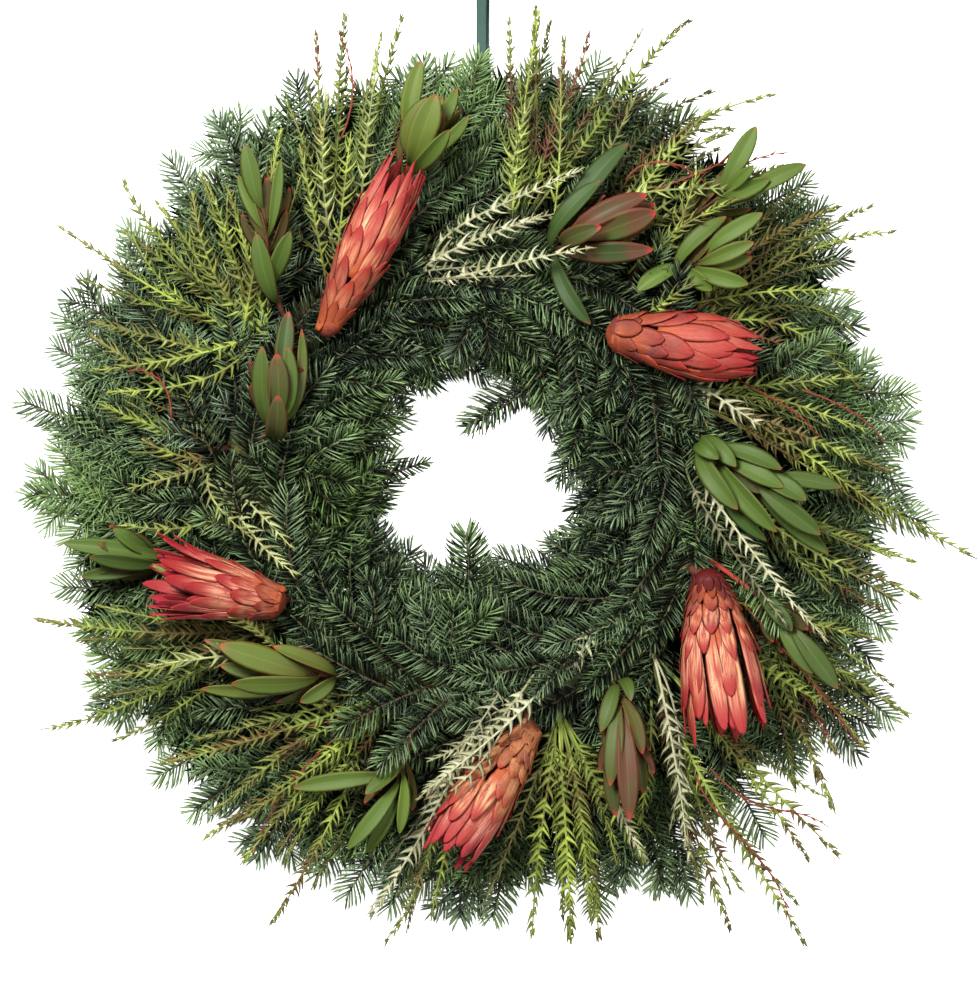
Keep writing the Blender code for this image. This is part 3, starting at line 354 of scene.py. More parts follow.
# Tips of the fir sprays at the rim, in the photograph's pixels. Then the tips' height, how far
# ahead of its tip a spray is rooted, the length that has needles, and its side twigs
FIR_TIP_PIXELS = (
    (219, 118), (170, 160), (124, 227), (61, 316), (53, 346), (21, 401), (61, 426), (32, 493),
    (59, 588), (84, 630), (95, 713), (156, 778), (192, 814), (253, 852), (316, 877),
    (346, 898), (388, 911), (462, 917), (493, 921), (599, 917), (628, 881), (663, 890),
    (692, 898), (766, 839), (797, 772), (860, 755), (892, 719), (873, 660), (888, 630),
    (894, 599), (930, 523), (909, 504), (894, 443), (911, 394), (860, 324), (852, 305),
    (810, 210), (808, 181), (640, 100), (600, 60), (540, 60), (480, 55), (420, 65), (295, 78),
)
FIR_TIP_Z = (14.0, 26.0)
TIP_ROOT_AHEAD_DEG = 9.0
TIP_NEEDLED = 118.0
TIP_TWIGS = ((0.42, 40, 46), (0.58, -40, 40))

# Rows of twigs over the ring: kind, how many, first angle, then radius and height of the
# root, the middle and the tip, how far each turns clockwise, and its side twig's length
TWIG_ROWS = (
    ("fir_inner", 24, 5, (130, 34), (104, 38), (84, 28), 40, 30),
    ("fir_inner", 22, 12, (134, 42), (112, 48), (90, 42), 40, 32),
    ("fir_inner", 20, 3, (140, 50), (118, 58), (104, 52), 38, 32),
    ("fir_top", 20, 3, (144, 48), (134, 66), (126, 60), 38, 34),
    ("fir_top", 20, 9, (156, 48), (158, 66), (162, 60), 34, 34),
    ("fir_back", 22, 0, (166, 42), (190, 54), (218, 46), 26, 38),
    ("fir_back", 22, 9, (172, 30), (204, 38), (246, 30), 20, 40),
    ("fir_back", 22, 4, (172, 30), (214, 40), (262, 24), 14, 40),
)

# Fir low down behind the rest, painted near-black as shade: kind, how many, root radius,
# height, tip radius, height, and how far it turns clockwise
UNDER_ROWS = (
    ("fir_back", 100, (158, 9), (270, 14), 12),
    ("fir_back", 76, (166, 20), (266, 21), 8),
    ("fir_back", 40, (168, 30), (232, 30), 16),
    ("fir_inner", 30, (126, 9), (88, 10), 26),
    ("fir_inner", 30, (124, 18), (94, 18), 40),
)

# The radius of the hole that the tips of those rows are given for
ROW_HOLE, UNDER_HOLE = 80, 70

# Single twigs, three of them into the hole: node, root, middle and tip, and needle size
SINGLE_TWIGS = (
    ("fir_inner_2", (60, 92, 46), (36, 54, 48), (-6, 36, 40), 0.55),
    ("fir_inner_4", (-104, 0, 44), (-72, -2, 42), (-34, 12, 34), 0.55),
    ("fir_inner_7", (-12, -122, 40), (0, -76, 46), (-6, -36, 38), 1.15),
    ("fir_top_4", (-16, -146, 54), (-38, -166, 78), (-64, -192, 80), 0.95),
    ("fir_top_4", (-30, -140, 54), (-60, -150, 76), (-92, -168, 72), 0.95),
    ("fir_top_1", (122, 96, 52), (136, 116, 76), (140, 142, 74), 0.9),
    ("fir_top_1", (110, 116, 52), (120, 136, 72), (126, 162, 70), 0.9),
    ("fir_back_12", (176, -60, 46), (196, -76, 74), (206, -100, 72), 0.9),
    ("fir_back_1", (194, 64, 42), (212, 78, 56), (240, 96, 50), 0.95),
    ("fir_back_1", (196, 84, 42), (214, 84, 54), (240, 74, 48), 0.95),
    ("fir_inner_8", (74, -114, 58), (60, -124, 84), (42, -142, 86), 0.8),
)

# The fir's hue (0 blue-green to 1 bright), and its paleness by radius: painted shade towards
# the hole and painted light towards the rim. Then the patches that differ: x, y and radius,
# hue, paleness
FIR_HUE = 0.4
FIR_LIGHT_AND_SHADE_BY_RADIUS = ((70, 150, 215, 290), (-0.45, -0.5, 0.0, 0.3))
FIR_PATCHES = (
    (-88, -8, 34, 1.0, -0.15),
    (-194, 92, 46, 0.15, 0.9),
    (-184, 46, 30, 0.0, -0.8),
    (60, 150, 40, 0.35, 0.5),
    (140, -18, 26, 0.6, 0.6),
    (-30, -130, 34, 0.15, 0.3),
    (-120, 120, 40, 0.2, -0.4),
    (110, 190, 40, 0.5, 0.3),
    (-230, -130, 50, 0.6, 0.1),
    (250, 60, 50, 0.55, 0.2),
    (30, -110, 30, 0.1, 0.2),
    (92, -8, 30, 0.2, -0.2),
    (10, 262, 40, 0.6, 0.6),
    (-60, 230, 30, 0.5, 0.4),
    (-280, -20, 50, 0.6, 0.5),
)

# Tones of the shoots' leaves: maroon, yellow, dark
SHOOT_TONES = (
    (0.15, 0.90, 0.0), (0.95, 0.05, 0.30), (0.40, 0.35, 0.2), (0.05, 0.70, 0.2),
    (0.00, 0.55, 0.2), (0.05, 0.80, 0.0), (0.05, 0.80, 0.1), (0.00, 0.45, 0.3),
    (0.55, 0.40, 0.2), (0.22, 0.75, 0.0), (0.05, 0.75, 0.1), (0.00, 0.60, 0.1),
)

# The small leaves up a stem: how many, the turn from each to the next, and how their tone
# differs
SMALL_LEAVES = 8
SMALL_LEAF_TURN = 2.4
SMALL_LEAF_TINT = (0.5, -0.2, 0.45)

# Shoots with a red stem, and the leaves of a shoot whose maroon differs: {shoot: {leaf: maroon}}
RED_STEMMED = (8, 9)
MAROON_LEAVES = {
    2: {3: 0.5, 4: 0.0, 5: 0.0, 7: 0.0},
    3: {0: 0.1, 2: 0.1},
    9: {0: 0.1, 1: 0.1, 3: 0.3, 4: 1.0},
}

# Tones of the bunches: cream, red-brown, and dark, which is painted shade
BUNCH_TONES = (
    (0.00, 0.15, 0.1), (0.15, 0.55, 0.2), (0.85, 0.10, 0.0), (0.10, 0.75, 0.3),
    (0.15, 0.60, 0.3), (0.10, 0.45, 0.2), (0.15, 0.40, 0.1), (0.15, 0.50, 0.1),
    (0.20, 0.70, 0.1), (0.15, 0.70, 0.1), (0.00, 0.10, 0.0), (0.25, 0.20, 0.0),
    (0.10, 0.45, 0.0), (0.10, 0.50, 0.1), (0.10, 0.60, 0.2),
)

# The cream sprigs as (bunch, sprig), and their tone. Then the bunch with broad lobes, and the
# share of a sprig's rib that is bare, with the sprigs where that differs
CREAM_SPRIGS = ((7, 0), (8, 0), (10, 3), (12, 0), (12, 1), (12, 2))
CREAM_TONE = (0.9, 0.05, 0.0)
BROAD_BUNCH = 11
BARE_SHARE = 0.2
BARE_SPRIGS = {(12, 0): 0.62, (12, 1): 0.5}

# More sprigs: bunch, root, middle and tip, cream
MORE_SPRIGS = (
    (15, (-176, 4, 44), (-152, -14, 70), (-122, -48, 72), 0.45),
    (15, (-176, 0, 44), (-148, -48, 74), (-120, -64, 76), 0.5),
    (15, (-176, 12, 44), (-196, -6, 62), (-150, -40, 70), 0.3),
    (15, (-176, 12, 44), (-188, 6, 58), (-236, -6, 52), 0.2),
    (1, (-150, 100, 46), (-170, 84, 66), (-262, 74, 52), 0.1),
    (1, (-150, 100, 46), (-160, 60, 62), (-250, 60, 56), 0.1),
    (5, (96, 160, 50), (150, 190, 64), (210, 214, 56), 0.2),
    (4, (30, 160, 50), (16, 210, 60), (40, 262, 60), 0.3),
    (13, (-80, -140, 50), (-110, -170, 60), (-178, -226, 50), 0.1),
    (11, (60, -150, 50), (40, -210, 66), (8, -284, 52), 0.3),
    (12, (52, -134, 72), (24, -166, 100), (-32, -208, 102), 1.1),
    (12, (40, -132, 66), (8, -178, 90), (-40, -216, 80), 0.8),
    (11, (84, -96, 50), (76, -110, 66), (66, -130, 68), 0.9),
    (11, (90, -150, 50), (84, -210, 66), (116, -258, 60), 0.8),
    (10, (128, -150, 50), (140, -200, 66), (146, -256, 56), 0.7),
    (10, (120, -150, 50), (120, -190, 60), (112, -232, 54), 0.1),
    (14, (-128, -120, 50), (-170, -78, 98), (-216, -58, 96), 0.15),
    (14, (-148, -118, 50), (-172, -118, 84), (-222, -126, 74), 0.45),
    (15, (-160, -20, 50), (-196, -40, 70), (-238, -30, 66), 0.15),
    (1, (-140, 100, 44), (-182, 120, 66), (-192, 196, 56), 0.1),
    (1, (-140, 96, 44), (-150, 140, 66), (-168, 200, 56), 0.1),
    (1, (-150, 80, 44), (-190, 90, 66), (-262, 108, 50), 0.1),
    (2, (-90, 140, 50), (-110, 190, 66), (-100, 262, 56), 0.35),
    (2, (-80, 150, 50), (-76, 220, 62), (-66, 290, 52), 0.35),
    (4, (50, 150, 50), (60, 210, 66), (58, 280, 54), 0.2),
    (4, (60, 150, 50), (84, 210, 66), (110, 262, 54), 0.2),
    (5, (90, 160, 50), (120, 214, 66), (160, 252, 54), 0.2),
    (6, (150, 120, 50), (200, 132, 66), (258, 128, 52), 0.1),
    (7, (150, 60, 50), (210, 66, 66), (262, 70, 52), 0.2),
    (7, (150, 60, 50), (214, 30, 66), (280, -24, 50), 0.1),
    (8, (150, 0, 50), (220, -30, 66), (300, -56, 50), 0.1),
    (13, (-60, -140, 50), (-120, -160, 70), (-190, -176, 60), 0.1),
    (13, (-50, -150, 50), (-100, -190, 66), (-160, -232, 54), 0.1),
    (12, (10, -160, 50), (-20, -240, 64), (-30, -300, 48), 0.1),
    (5, (104, 140, 60), (130, 172, 76), (178, 190, 78), 0.1),
    (5, (90, 190, 56), (130, 200, 76), (186, 196, 70), 0.3),
    (6, (118, 130, 60), (138, 164, 76), (150, 208, 74), 0.1),
    (6, (112, 108, 62), (134, 126, 78), (158, 140, 78), 0.1),
    (1, (-160, 88, 44), (-148, 150, 84), (-131, 238, 72), 0.1),
    (1, (-150, 92, 44), (-158, 150, 74), (-184, 206, 60), 0.1),
    (2, (-100, 130, 50), (-108, 176, 72), (-119, 228, 62), 0.1),
    (2, (-96, 120, 50), (-92, 170, 66), (-84, 236, 64), 0.1),
    (4, (24, 150, 50), (26, 220, 66), (44, 320, 46), 0.1),
    (9, (170, -80, 50), (214, -96, 60), (276, -108, 46), 0.1),
    (9, (176, -110, 50), (220, -150, 56), (262, -160, 44), 0.1),
)

# Thin red curls of new growth: bunch, then points x y z
CURLS = (
    (5, (102, 203, 66), (118, 214, 76), (152, 204, 72), (160, 196, 66)),
    (5, (118, 195, 66), (150, 206, 74), (170, 214, 72), (182, 232, 66)),
    (5, (180, 190, 66), (170, 220, 76), (186, 230, 74), (212, 222, 64)),
    (7, (178, 68, 62), (200, 60, 72), (222, 44, 66), (232, 30, 58)),
    (7, (222, 61, 60), (246, 52, 68), (262, 36, 60), (276, 28, 52)),
    (1, (-206, 40, 60), (-216, 58, 70), (-232, 62, 66), (-236, 74, 60)),
    (10, (150, -200, 60), (172, -236, 66), (196, -262, 56), (214, -300, 46)),
    (10, (160, -196, 60), (190, -218, 66), (214, -226, 58), (240, -236, 50)),
    (9, (182, -84, 62), (212, -118, 68), (240, -150, 58), (262, -182, 50)),
    (13, (-60, -152, 66), (-110, -158, 70), (-160, -176, 60), (-206, -190, 54)),
    (13, (-70, -160, 60), (-110, -190, 66), (-130, -220, 56), (-150, -250, 50)),
    (2, (-92, 230, 56), (-84, 262, 66), (-82, 290, 60), (-94, 306, 52)),
)

# How far the fir reaches in towards the hole, all round: degrees, radius
HOLE_EDGE = np.array((
    (-180, 60), (-137, 73), (-118, 64), (-90, 57), (-72, 56), (-50, 67), (-34, 75), (0, 60),
    (36, 58), (56, 65), (80, 72), (104, 71), (121, 71), (148, 64), (173, 58), (180, 60),
), float)

# Rows of needles on a twig: angle from its top, step, share of the full length. Then, by how
# far a needle stands from the tip, the angle it opens to, its length and its paleness, and by
# how far it stands from the foot, its length
NEEDLE_ROWS = ((-86, 2.6, 1.0), (86, 2.6, 1.0), (-52, 5.2, 0.94), (52, 5.2, 0.94),
               (6, 9.0, 0.6))
OPENING = ((0, 4, 12, 26), (24, 46, 64, 74))
TIP_LENGTHS = ((0, 6, 20), (0.55, 0.8, 1.0))
TIP_PALENESS = ((0, 60), (0.42, -0.12))
FOOT_LENGTHS = ((0, 14), (0.65, 1.0))

# Lobes: the angles they open to, their length by share of the rib, their width to a length
# of 1, and the share of them that is missing
LOBE_OPENINGS = (56, 80)
LOBE_LENGTHS = ((0, 0.15, 0.6, 1), (0.6, 1.0, 0.88, 0.4))
LOBE_WIDTH = 0.34
LOBES_MISSING = 0.06

# Stems: the radii at the foot and the end, and a bunch's foot as (distance, radius). Then the
# tilt of a bloom's stem on the moss, outside its middle and inside
BLOOM_STEM, SHOOT_STEM = (4.0, 3.6), (2.2, 1.1)
BUNCH_FOOT = ((0, 3.4), (9, 2.6), (12.5, 1.2))
OUTER_TILT, INNER_TILT = 90.0, 112.0

# A bloom's middle: the blunt core as (share of its length, share of the bloom's radius), and
# its styles. Then the share of its length where a bloom is widest, the stations along a
# bract, and its width at each
CORE_SHAPE = ((0.0, 0.2), (0.2, 0.34), (0.6, 0.5), (0.85, 0.46), (0.97, 0.3), (1.0, 0.1))
STYLES = 300
STYLE_TINT = (0.85, 0.7, -1.3)
WIDEST_AT = 0.6
BRACT_ALONG = np.array((0.0, 0.08, 0.2, 0.34, 0.48, 0.6, 0.72, 0.83, 0.92, 0.97, 1.0))
BRACT_THICKNESS = 0.9
BRACT_SHAPES = {
    "ovate": np.array((0.55, 0.72, 0.9, 1.0, 1.0, 0.94, 0.82, 0.62, 0.38, 0.2, 0.03)),
    "lance": np.array((0.5, 0.62, 0.78, 0.92, 1.0, 0.98, 0.88, 0.68, 0.4, 0.2, 0.02)),
    "strap": np.array((0.4, 0.5, 0.66, 0.84, 0.97, 1.0, 0.98, 0.86, 0.6, 0.36, 0.05)),
}

# A bloom: hue, paleness, openness, share of its width at the base, the row number and hue
# that its lowest tier looks like, and its tiers of bracts from the base up.
# A tier: start and end as shares of the head, how many, width, lift of the tip, shape
BLOOM_LOOKS = {
    "protea_1": (0.50, 0.60, 0.62, 0.50, 0.20, 0.3, (
        (-0.02, 0.16, 11, 11, 0.6, "ovate"), (0.05, 0.30, 10, 12, 0.8, "ovate"),
        (0.14, 0.46, 9, 13, 1.0, "ovate"), (0.24, 0.64, 8, 13, 1.4, "lance"),
        (0.32, 0.82, 8, 13, 1.8, "lance"), (0.36, 0.95, 8, 11, 2.6, "lance"),
        (0.40, 1.02, 9, 9, 3.0, "lance"), (0.44, 1.06, 7, 8, 1.0, "lance"))),
    "protea_2": (0.40, 0.00, 0.38, 0.60, 0.20, 0.3, (
        (-0.02, 0.20, 11, 14, 0.6, "ovate"), (0.08, 0.38, 9, 17, 1.0, "ovate"),
        (0.18, 0.56, 8, 18, 1.2, "ovate"), (0.28, 0.76, 8, 17, 1.4, "lance"),
        (0.34, 0.86, 8, 14, 1.4, "lance"), (0.40, 0.91, 9, 12, 1.8, "lance"),
        (0.44, 0.95, 9, 10, 0.4, "lance"), (0.46, 0.95, 7, 9, -2.0, "lance"))),
    "protea_3": (0.42, 0.95, 0.98, 0.46, 0.0, 0.3, (
        (-0.02, 0.08, 13, 7, 0.5, "ovate"), (0.02, 0.14, 14, 8, 0.7, "ovate"),
        (0.07, 0.22, 13, 9, 0.9, "ovate"), (0.12, 0.36, 11, 13, 1.0, "ovate"),
        (0.16, 0.54, 10, 14, 1.4, "ovate"), (0.20, 0.80, 9, 14, 2.0, "strap"),
        (0.24, 0.97, 10, 13, 4.0, "strap"), (0.28, 1.00, 8, 10, 0.0, "strap"))),
    "protea_4": (0.95, 0.40, 0.74, 0.50, 0.16, -0.9, (
        (-0.02, 0.12, 12, 9, 0.5, "ovate"), (0.05, 0.22, 11, 11, 0.8, "ovate"),
        (0.13, 0.36, 10, 13, 1.0, "ovate"), (0.22, 0.52, 9, 15, 1.0, "ovate"),
        (0.32, 0.70, 8, 15, 1.2, "ovate"), (0.40, 0.88, 9, 12, 1.6, "strap"),
        (0.44, 0.97, 9, 11, 2.4, "strap"), (0.48, 1.00, 7, 9, 0.0, "strap"))),
    "protea_5": (0.95, 0.85, 1.30, 0.66, 0.30, 0.2, (
        (-0.02, 0.22, 10, 12, 0.8, "ovate"), (0.02, 0.44, 10, 12, 1.4, "strap"),
        (0.04, 0.66, 10, 12, 2.2, "strap"), (0.06, 0.84, 10, 12, 3.4, "strap"),
        (0.08, 0.98, 11, 12, 3.0, "strap"), (0.12, 0.96, 9, 12, -4.0, "strap"),
        (0.14, 0.90, 8, 11, -9.0, "strap"))),
}

# A leaf: stations along it, its width at each, and its thickness. Its section, once round:
# places across from 1 to -1 and back, and 1 where that is the underside
LEAF_SHARES = np.array((0.0, 0.05, 0.12, 0.22, 0.34, 0.46, 0.58, 0.7, 0.8, 0.88, 0.94, 0.98, 1.0))
LEAF_WIDTHS = np.array((0.2, 0.24, 0.36, 0.56, 0.78, 0.93, 1.0, 0.96, 0.84, 0.64, 0.42, 0.2, 0.03))
LEAF_THICKNESS = 0.8
TOP_SIDE = np.linspace(1, -1, 7)
OVER = np.concatenate([TOP_SIDE, TOP_SIDE[-2:0:-1]])
UNDER = np.concatenate([np.zeros(len(TOP_SIDE)), np.ones(len(TOP_SIDE) - 2)])


def tone(red, green, blue):
    """A colour as it is displayed, 0 to 255, made linear."""
    shares = [value / 255 for value in (red, green, blue)]
    linear = [s / 12.92 if s <= 0.04045 else ((s + 0.055) / 1.055) ** 2.4 for s in shares]
    return (*linear, 1.0)


def unit(vectors):
    return vectors / np.maximum(np.linalg.norm(vectors, axis=-1, keepdims=True), 1e-9)


def polar(radius, degrees, z):
    angle = math.radians(degrees)
    return np.array((radius * math.cos(angle), radius * math.sin(angle), z))


def angle_of(place):
    return math.degrees(math.atan2(place[1], place[0]))


def level(angles):
    """Level unit vectors at those angles, in radians."""
    return np.stack([np.cos(angles), np.sin(angles), np.zeros(len(angles))], axis=1)


def around(side, up, angles):
    """Directions at those angles round a line, counted from its side towards its up."""
    return side * np.cos(angles)[..., None] + up * np.sin(angles)[..., None]


class Way:
    """A smooth line drawn by control points, with a frame that doesn't roll along it."""

    def __init__(self, controls, up=UP):
        share = np.linspace(0, 1, WAY_SAMPLES)[:, None]
        lines = [np.repeat(np.array([c], float), WAY_SAMPLES, axis=0) for c in controls]
        while len(lines) > 1:
            lines = [a + (b - a) * share for a, b in zip(lines, lines[1:])]
        self.points = lines[0]
        steps = np.linalg.norm(np.diff(self.points, axis=0), axis=1)
        self.run = np.concatenate([[0.0], np.cumsum(steps)])
        self.length = self.run[-1]
        self.forward = unit(np.gradient(self.points, axis=0))
        self.up = np.empty_like(self.forward)
        up = np.array(up, float)
        for i in reversed(range(WAY_SAMPLES)):
            up = up - (up @ self.forward[i]) * self.forward[i]
            up = up / np.linalg.norm(up)
            self.up[i] = up

    def at(self, distances):
        """The places, forward, side and up directions that far along."""
        distances = np.clip(distances, 0, self.length)
        place, forward, up = (
            np.stack([np.interp(distances, self.run, values[:, k]) for k in range(3)], axis=1)
            for values in (self.points, self.forward, self.up)
        )
        forward = unit(forward)
        side = unit(np.cross(up, forward))
        return place, forward, side, np.cross(forward, side)


class Growth:
    """A mesh while it grows, in millimetres from the middle of the ring.

    Each point holds two threes of numbers that the materials read: leaf is the share along,
    the place across from 1 to -1, and a chance number. tint is what the material says.
    """

    def __init__(self):
        self.parts = []
        self.count = 0

    def add(self, points, faces, leaf, tint, slot):
        tint = np.broadcast_to(np.asarray(tint, float), points.shape)
        slots = np.full(len(faces), slot)
        self.parts.append((points, faces + self.count, leaf, tint, slots))
        self.count += len(points)

    def loft(self, rings, leaf, tint, slot=LEAF_SLOT, closed=False):
        """Joins rings of points into a tube: its ends filled, or its last ring to its first."""
        count, sides, _ = rings.shape
        index = np.arange(count * sides).reshape(count, sides)
        near, far = (index, np.roll(index, -1, 0)) if closed else (index[:-1], index[1:])
        near_next, far_next = np.roll(near, -1, 1), np.roll(far, -1, 1)
        faces = [np.stack([near, near_next, far_next], -1).reshape(-1, 3),
                 np.stack([near, far_next, far], -1).reshape(-1, 3)]
        if not closed:
            fan = np.arange(1, sides - 1)
            first, last = index[0], index[-1]
            start = np.full(len(fan), first[0])
            end = np.full(len(fan), last[0])
            faces.append(np.stack([start, first[fan + 1], first[fan]], -1))
            faces.append(np.stack([end, last[fan], last[fan + 1]], -1))
        self.add(rings.reshape(-1, 3), np.concatenate(faces), leaf.reshape(-1, 3), tint, slot)

    def joined(self):
        return [np.concatenate([part[k] for part in self.parts]) for k in range(5)]


def leaf_numbers(along, across, chance):
    """The leaf numbers of a grid of points: along for each ring, across for each of its points."""
    along, across = np.meshgrid(along, across, indexing="ij")
    return np.stack([along, across, np.full(along.shape, chance)], axis=-1)


def round_rings(place, side, up, radii, sides):
    """Rings of points round a line, and how far across each point of a ring is."""
    angles = np.arange(sides) * TURN / sides
    out = around(side[:, None], up[:, None], angles[None])
    return place[:, None] + out * radii[:, None, None], np.cos(angles)


def rod(growth, way, stations, tint, slot=LEAF_SLOT, sides=6, chance=0.5):
    """A round rod through (distance, radius) stations."""
    distances, radii = np.array(stations, float).T
    place, _, side, up = way.at(distances)
    rings, across = round_rings(place, side, up, radii, sides)
    growth.loft(rings, leaf_numbers(distances / way.length, across, chance), tint, slot)


def taper(way, root, tip, step=14.0):
    """Stations of a rod that thins evenly from root to tip."""
    count = max(2, int(way.length / step) + 1)
    distances = np.linspace(0, way.length, count)
    return np.stack([distances, np.linspace(root, tip, count)], axis=1)


def spike_faces(stations):
    """The faces of one spike: bands between its three-sided stations, and its point."""
    faces = []
    for i in range(stations - 1):
        for j in range(3):
            k = (j + 1) % 3
            a, b, c, d = 3 * i + j, 3 * i + k, 3 * i + 3 + k, 3 * i + 3 + j
            faces += [(a, b, c), (a, c, d)]
    last, tip = 3 * (stations - 1), 3 * stations
    faces += [(last, last + 1, tip), (last + 1, last + 2, tip), (last + 2, last, tip)]
    return np.array(faces)


def spikes(growth, shape, ridge, roots, ways, bends, ups, lengths, widths, chance, tint,
           slot=LEAF_SLOT):
    """Many needles or lobes at once: flat below, ridged above, bent, and pointed."""
    count = len(roots)
    if not count:
        return
    lengths = lengths[:, None]
    rings = []
    leaf = np.zeros((count, 3 * len(shape) + 1, 3))
    for i, (share, wide) in enumerate(shape):
        centre = roots + lengths * (ways * share + bends * share ** 2)
        forward = unit(ways + 2 * share * bends)
        side = unit(np.cross(ups, forward))
        up = np.cross(forward, side)
        half = widths[:, None] * wide / 2
        rings += [centre + side * half, centre + up * half * ridge, centre - side * half]
        leaf[:, 3 * i:3 * i + 3, 0] = share
        leaf[:, 3 * i:3 * i + 3, 1] = (1, 0, -1)
    rings.append(roots + lengths * (ways + bends))
    leaf[:, -1, 0] = 1.0
    leaf[:, :, 2] = chance.uniform(0, 1, (count, 1))
    points = np.stack(rings, axis=1)
    template = spike_faces(len(shape))
    first = np.arange(count)[:, None, None] * points.shape[1]
    faces = (first + template).reshape(-1, 3)
    tint = np.repeat(np.broadcast_to(tint, (count, 3)), points.shape[1], axis=0)
    growth.add(points.reshape(-1, 3), faces, leaf.reshape(-1, 3), tint, slot)


def seat(degrees, tilt):
    """A place on the moss, and the way out of it there."""
    lean = math.radians(tilt)
    outward = polar(1, degrees, 0)
    way = outward * math.cos(lean) + UP * math.sin(lean)
    across, over = math.cos(lean) * MOSS_HALF_WIDTH, math.sin(lean) * MOSS_HALF_HEIGHT
    start = polar(MOSS_RADIUS, degrees, MOSS_MIDDLE) + outward * across + UP * over
    return start, way


# Wire frame, moss and binding


def wire_frame(growth):
    """Two hoops on six cross bars."""
    angles = np.linspace(0, TURN, HOOP_STEPS, endpoint=False)
    section = np.arange(HOOP_SIDES) * TURN / HOOP_SIDES
    for radius in HOOP_RADII:
        out = radius + HOOP_WIRE * np.cos(section)
        height = HOOP_HEIGHT + HOOP_WIRE * np.sin(section)
        rings = level(angles)[:, None] * out[None, :, None] + UP * height[None, :, None]
        growth.loft(rings[::-1], leaf_numbers(angles, section, 0.5), PLAIN, closed=True)
    for i in range(BAR_COUNT):
        bar(growth, BAR_FIRST_DEG + i * 360 / BAR_COUNT)


def bar(growth, degrees):
    """A flat cross bar with rounded ends and softened edges."""
    along, across = polar(1, degrees, 0), polar(1, degrees + 90, 0)
    inner, outer = BAR_SPAN
    half, high = BAR_WIDTH / 2, BAR_THICKNESS - BAR_EDGE
    flat = half - BAR_EDGE
    section = ((half, BAR_EDGE), (half, high), (flat, BAR_THICKNESS), (-flat, BAR_THICKNESS),
               (-half, high), (-half, BAR_EDGE), (-flat, 0), (flat, 0))
    stations = [(inner + inset, wide) for inset, wide in BAR_ENDS]
    stations += [(outer - inset, wide) for inset, wide in reversed(BAR_ENDS)]
    rings = [[along * radius + across * x * wide + UP * z for x, z in section]
             for radius, wide in stations]
    leaf = leaf_numbers(np.linspace(0, 1, len(stations)), np.linspace(-1, 1, len(section)), 0.2)
    growth.loft(np.array(rings), leaf, PLAIN)


def moss_ring(growth, chance):
    """The moss body with a lumpy skin, and fibres that stand out of it all round."""
    angles = np.linspace(0, TURN, MOSS_STEPS, endpoint=False)
    section = np.linspace(0, TURN, MOSS_SIDES, endpoint=False)
    rings = np.array([[moss_skin(math.degrees(angle), turn) for turn in section]
                      for angle in angles])
    leaf = leaf_numbers(angles / TURN, np.cos(section), 0.5)
    growth.loft(rings[::-1], leaf, PLAIN, closed=True)
    moss_fibres(growth, chance)


def moss_skin(degrees, turn):
    """A point of the moss, lumpy but for its underside."""
    x, z = moss_section(turn)
    place = polar(MOSS_RADIUS + x, degrees, MOSS_MIDDLE + z)
    if z <= MOSS_SMOOTH_BELOW - MOSS_HALF_HEIGHT:
        return place
    swell = sum(high * noise.noise(Vector(place) * fine) for high, fine in MOSS_LUMPS)
    return place + polar(x, degrees, z) / MOSS_HALF_WIDTH * swell


def moss_fibres(growth, chance):
    angles = chance.uniform(0, TURN, MOSS_FIBRES)
    turns = chance.uniform(-0.35 * math.pi, 1.35 * math.pi, MOSS_FIBRES)
    section = np.array([moss_section(turn) for turn in turns]) * FIBRE_ROOT
    radial = level(angles)
    roots = radial * (MOSS_RADIUS + section[:, :1]) + UP * (MOSS_MIDDLE + section[:, 1:])
    out = unit(around(radial, UP, turns))
    ways = unit(out * 0.55 + chance.normal(0, 0.55, (MOSS_FIBRES, 3)))
    bends = chance.normal(0, 0.25, (MOSS_FIBRES, 3))
    ups = unit(out + chance.normal(0, 0.3, (MOSS_FIBRES, 3)))
    lengths = chance.uniform(*FIBRE_LENGTHS, MOSS_FIBRES)
    widths = chance.uniform(*FIBRE_WIDTHS, MOSS_FIBRES)
    spikes(growth, FIBRE_SHAPE, 0.7, roots, ways, bends, ups, lengths, widths, chance, (1, 0, 0))


def moss_section(turn):
    """A rounded octagon: x and z from the section's middle."""
    across, over = math.cos(turn), math.sin(turn)
    reach = (abs(across) ** MOSS_ROUNDNESS + abs(over) ** MOSS_ROUNDNESS) ** (-1 / MOSS_ROUNDNESS)
    return across * reach * MOSS_HALF_WIDTH * MOSS_WIDTH_SHARE, over * reach * MOSS_HALF_HEIGHT


def binding_wire(growth):
    """One wire wound round moss and frame."""
    corners = []
    for turn in range(BINDING_CORNERS):
        angle = (turn + 0.5) * TURN / BINDING_CORNERS
        reach = 1 / math.cos(math.pi / BINDING_CORNERS)
        x = math.cos(angle) * reach * (MOSS_HALF_WIDTH + BINDING_GAP)
        z = math.sin(angle) * reach * (MOSS_HALF_HEIGHT + BINDING_GAP) + MOSS_MIDDLE
        if z <= MOSS_BOTTOM + 1:
            x, z = math.copysign(BINDING_UNDER_X, x), BINDING_UNDER
        corners.append((x, z))
    count = BINDING_TURNS * BINDING_CORNERS
    points = []
    for i in range(count):
        x, z = corners[i % BINDING_CORNERS]
        degrees = BINDING_FIRST_DEG + BINDING_SPAN_DEG * i / (count - 1)
        points.append(polar(MOSS_RADIUS + x, degrees, z))
    points = rounded(np.array(points), BINDING_ROUNDING)
    forward = unit(np.gradient(points, axis=0))
    centre = unit(points * (1, 1, 0)) * MOSS_RADIUS + UP * MOSS_MIDDLE
    side = unit(np.cross(unit(points - centre), forward))
    radii = np.full(len(points), BINDING_WIRE)
    rings, across = round_rings(points, side, np.cross(forward, side), radii, 6)
    growth.loft(rings, leaf_numbers(np.linspace(0, 1, len(points)), across, 0.5), PLAIN)


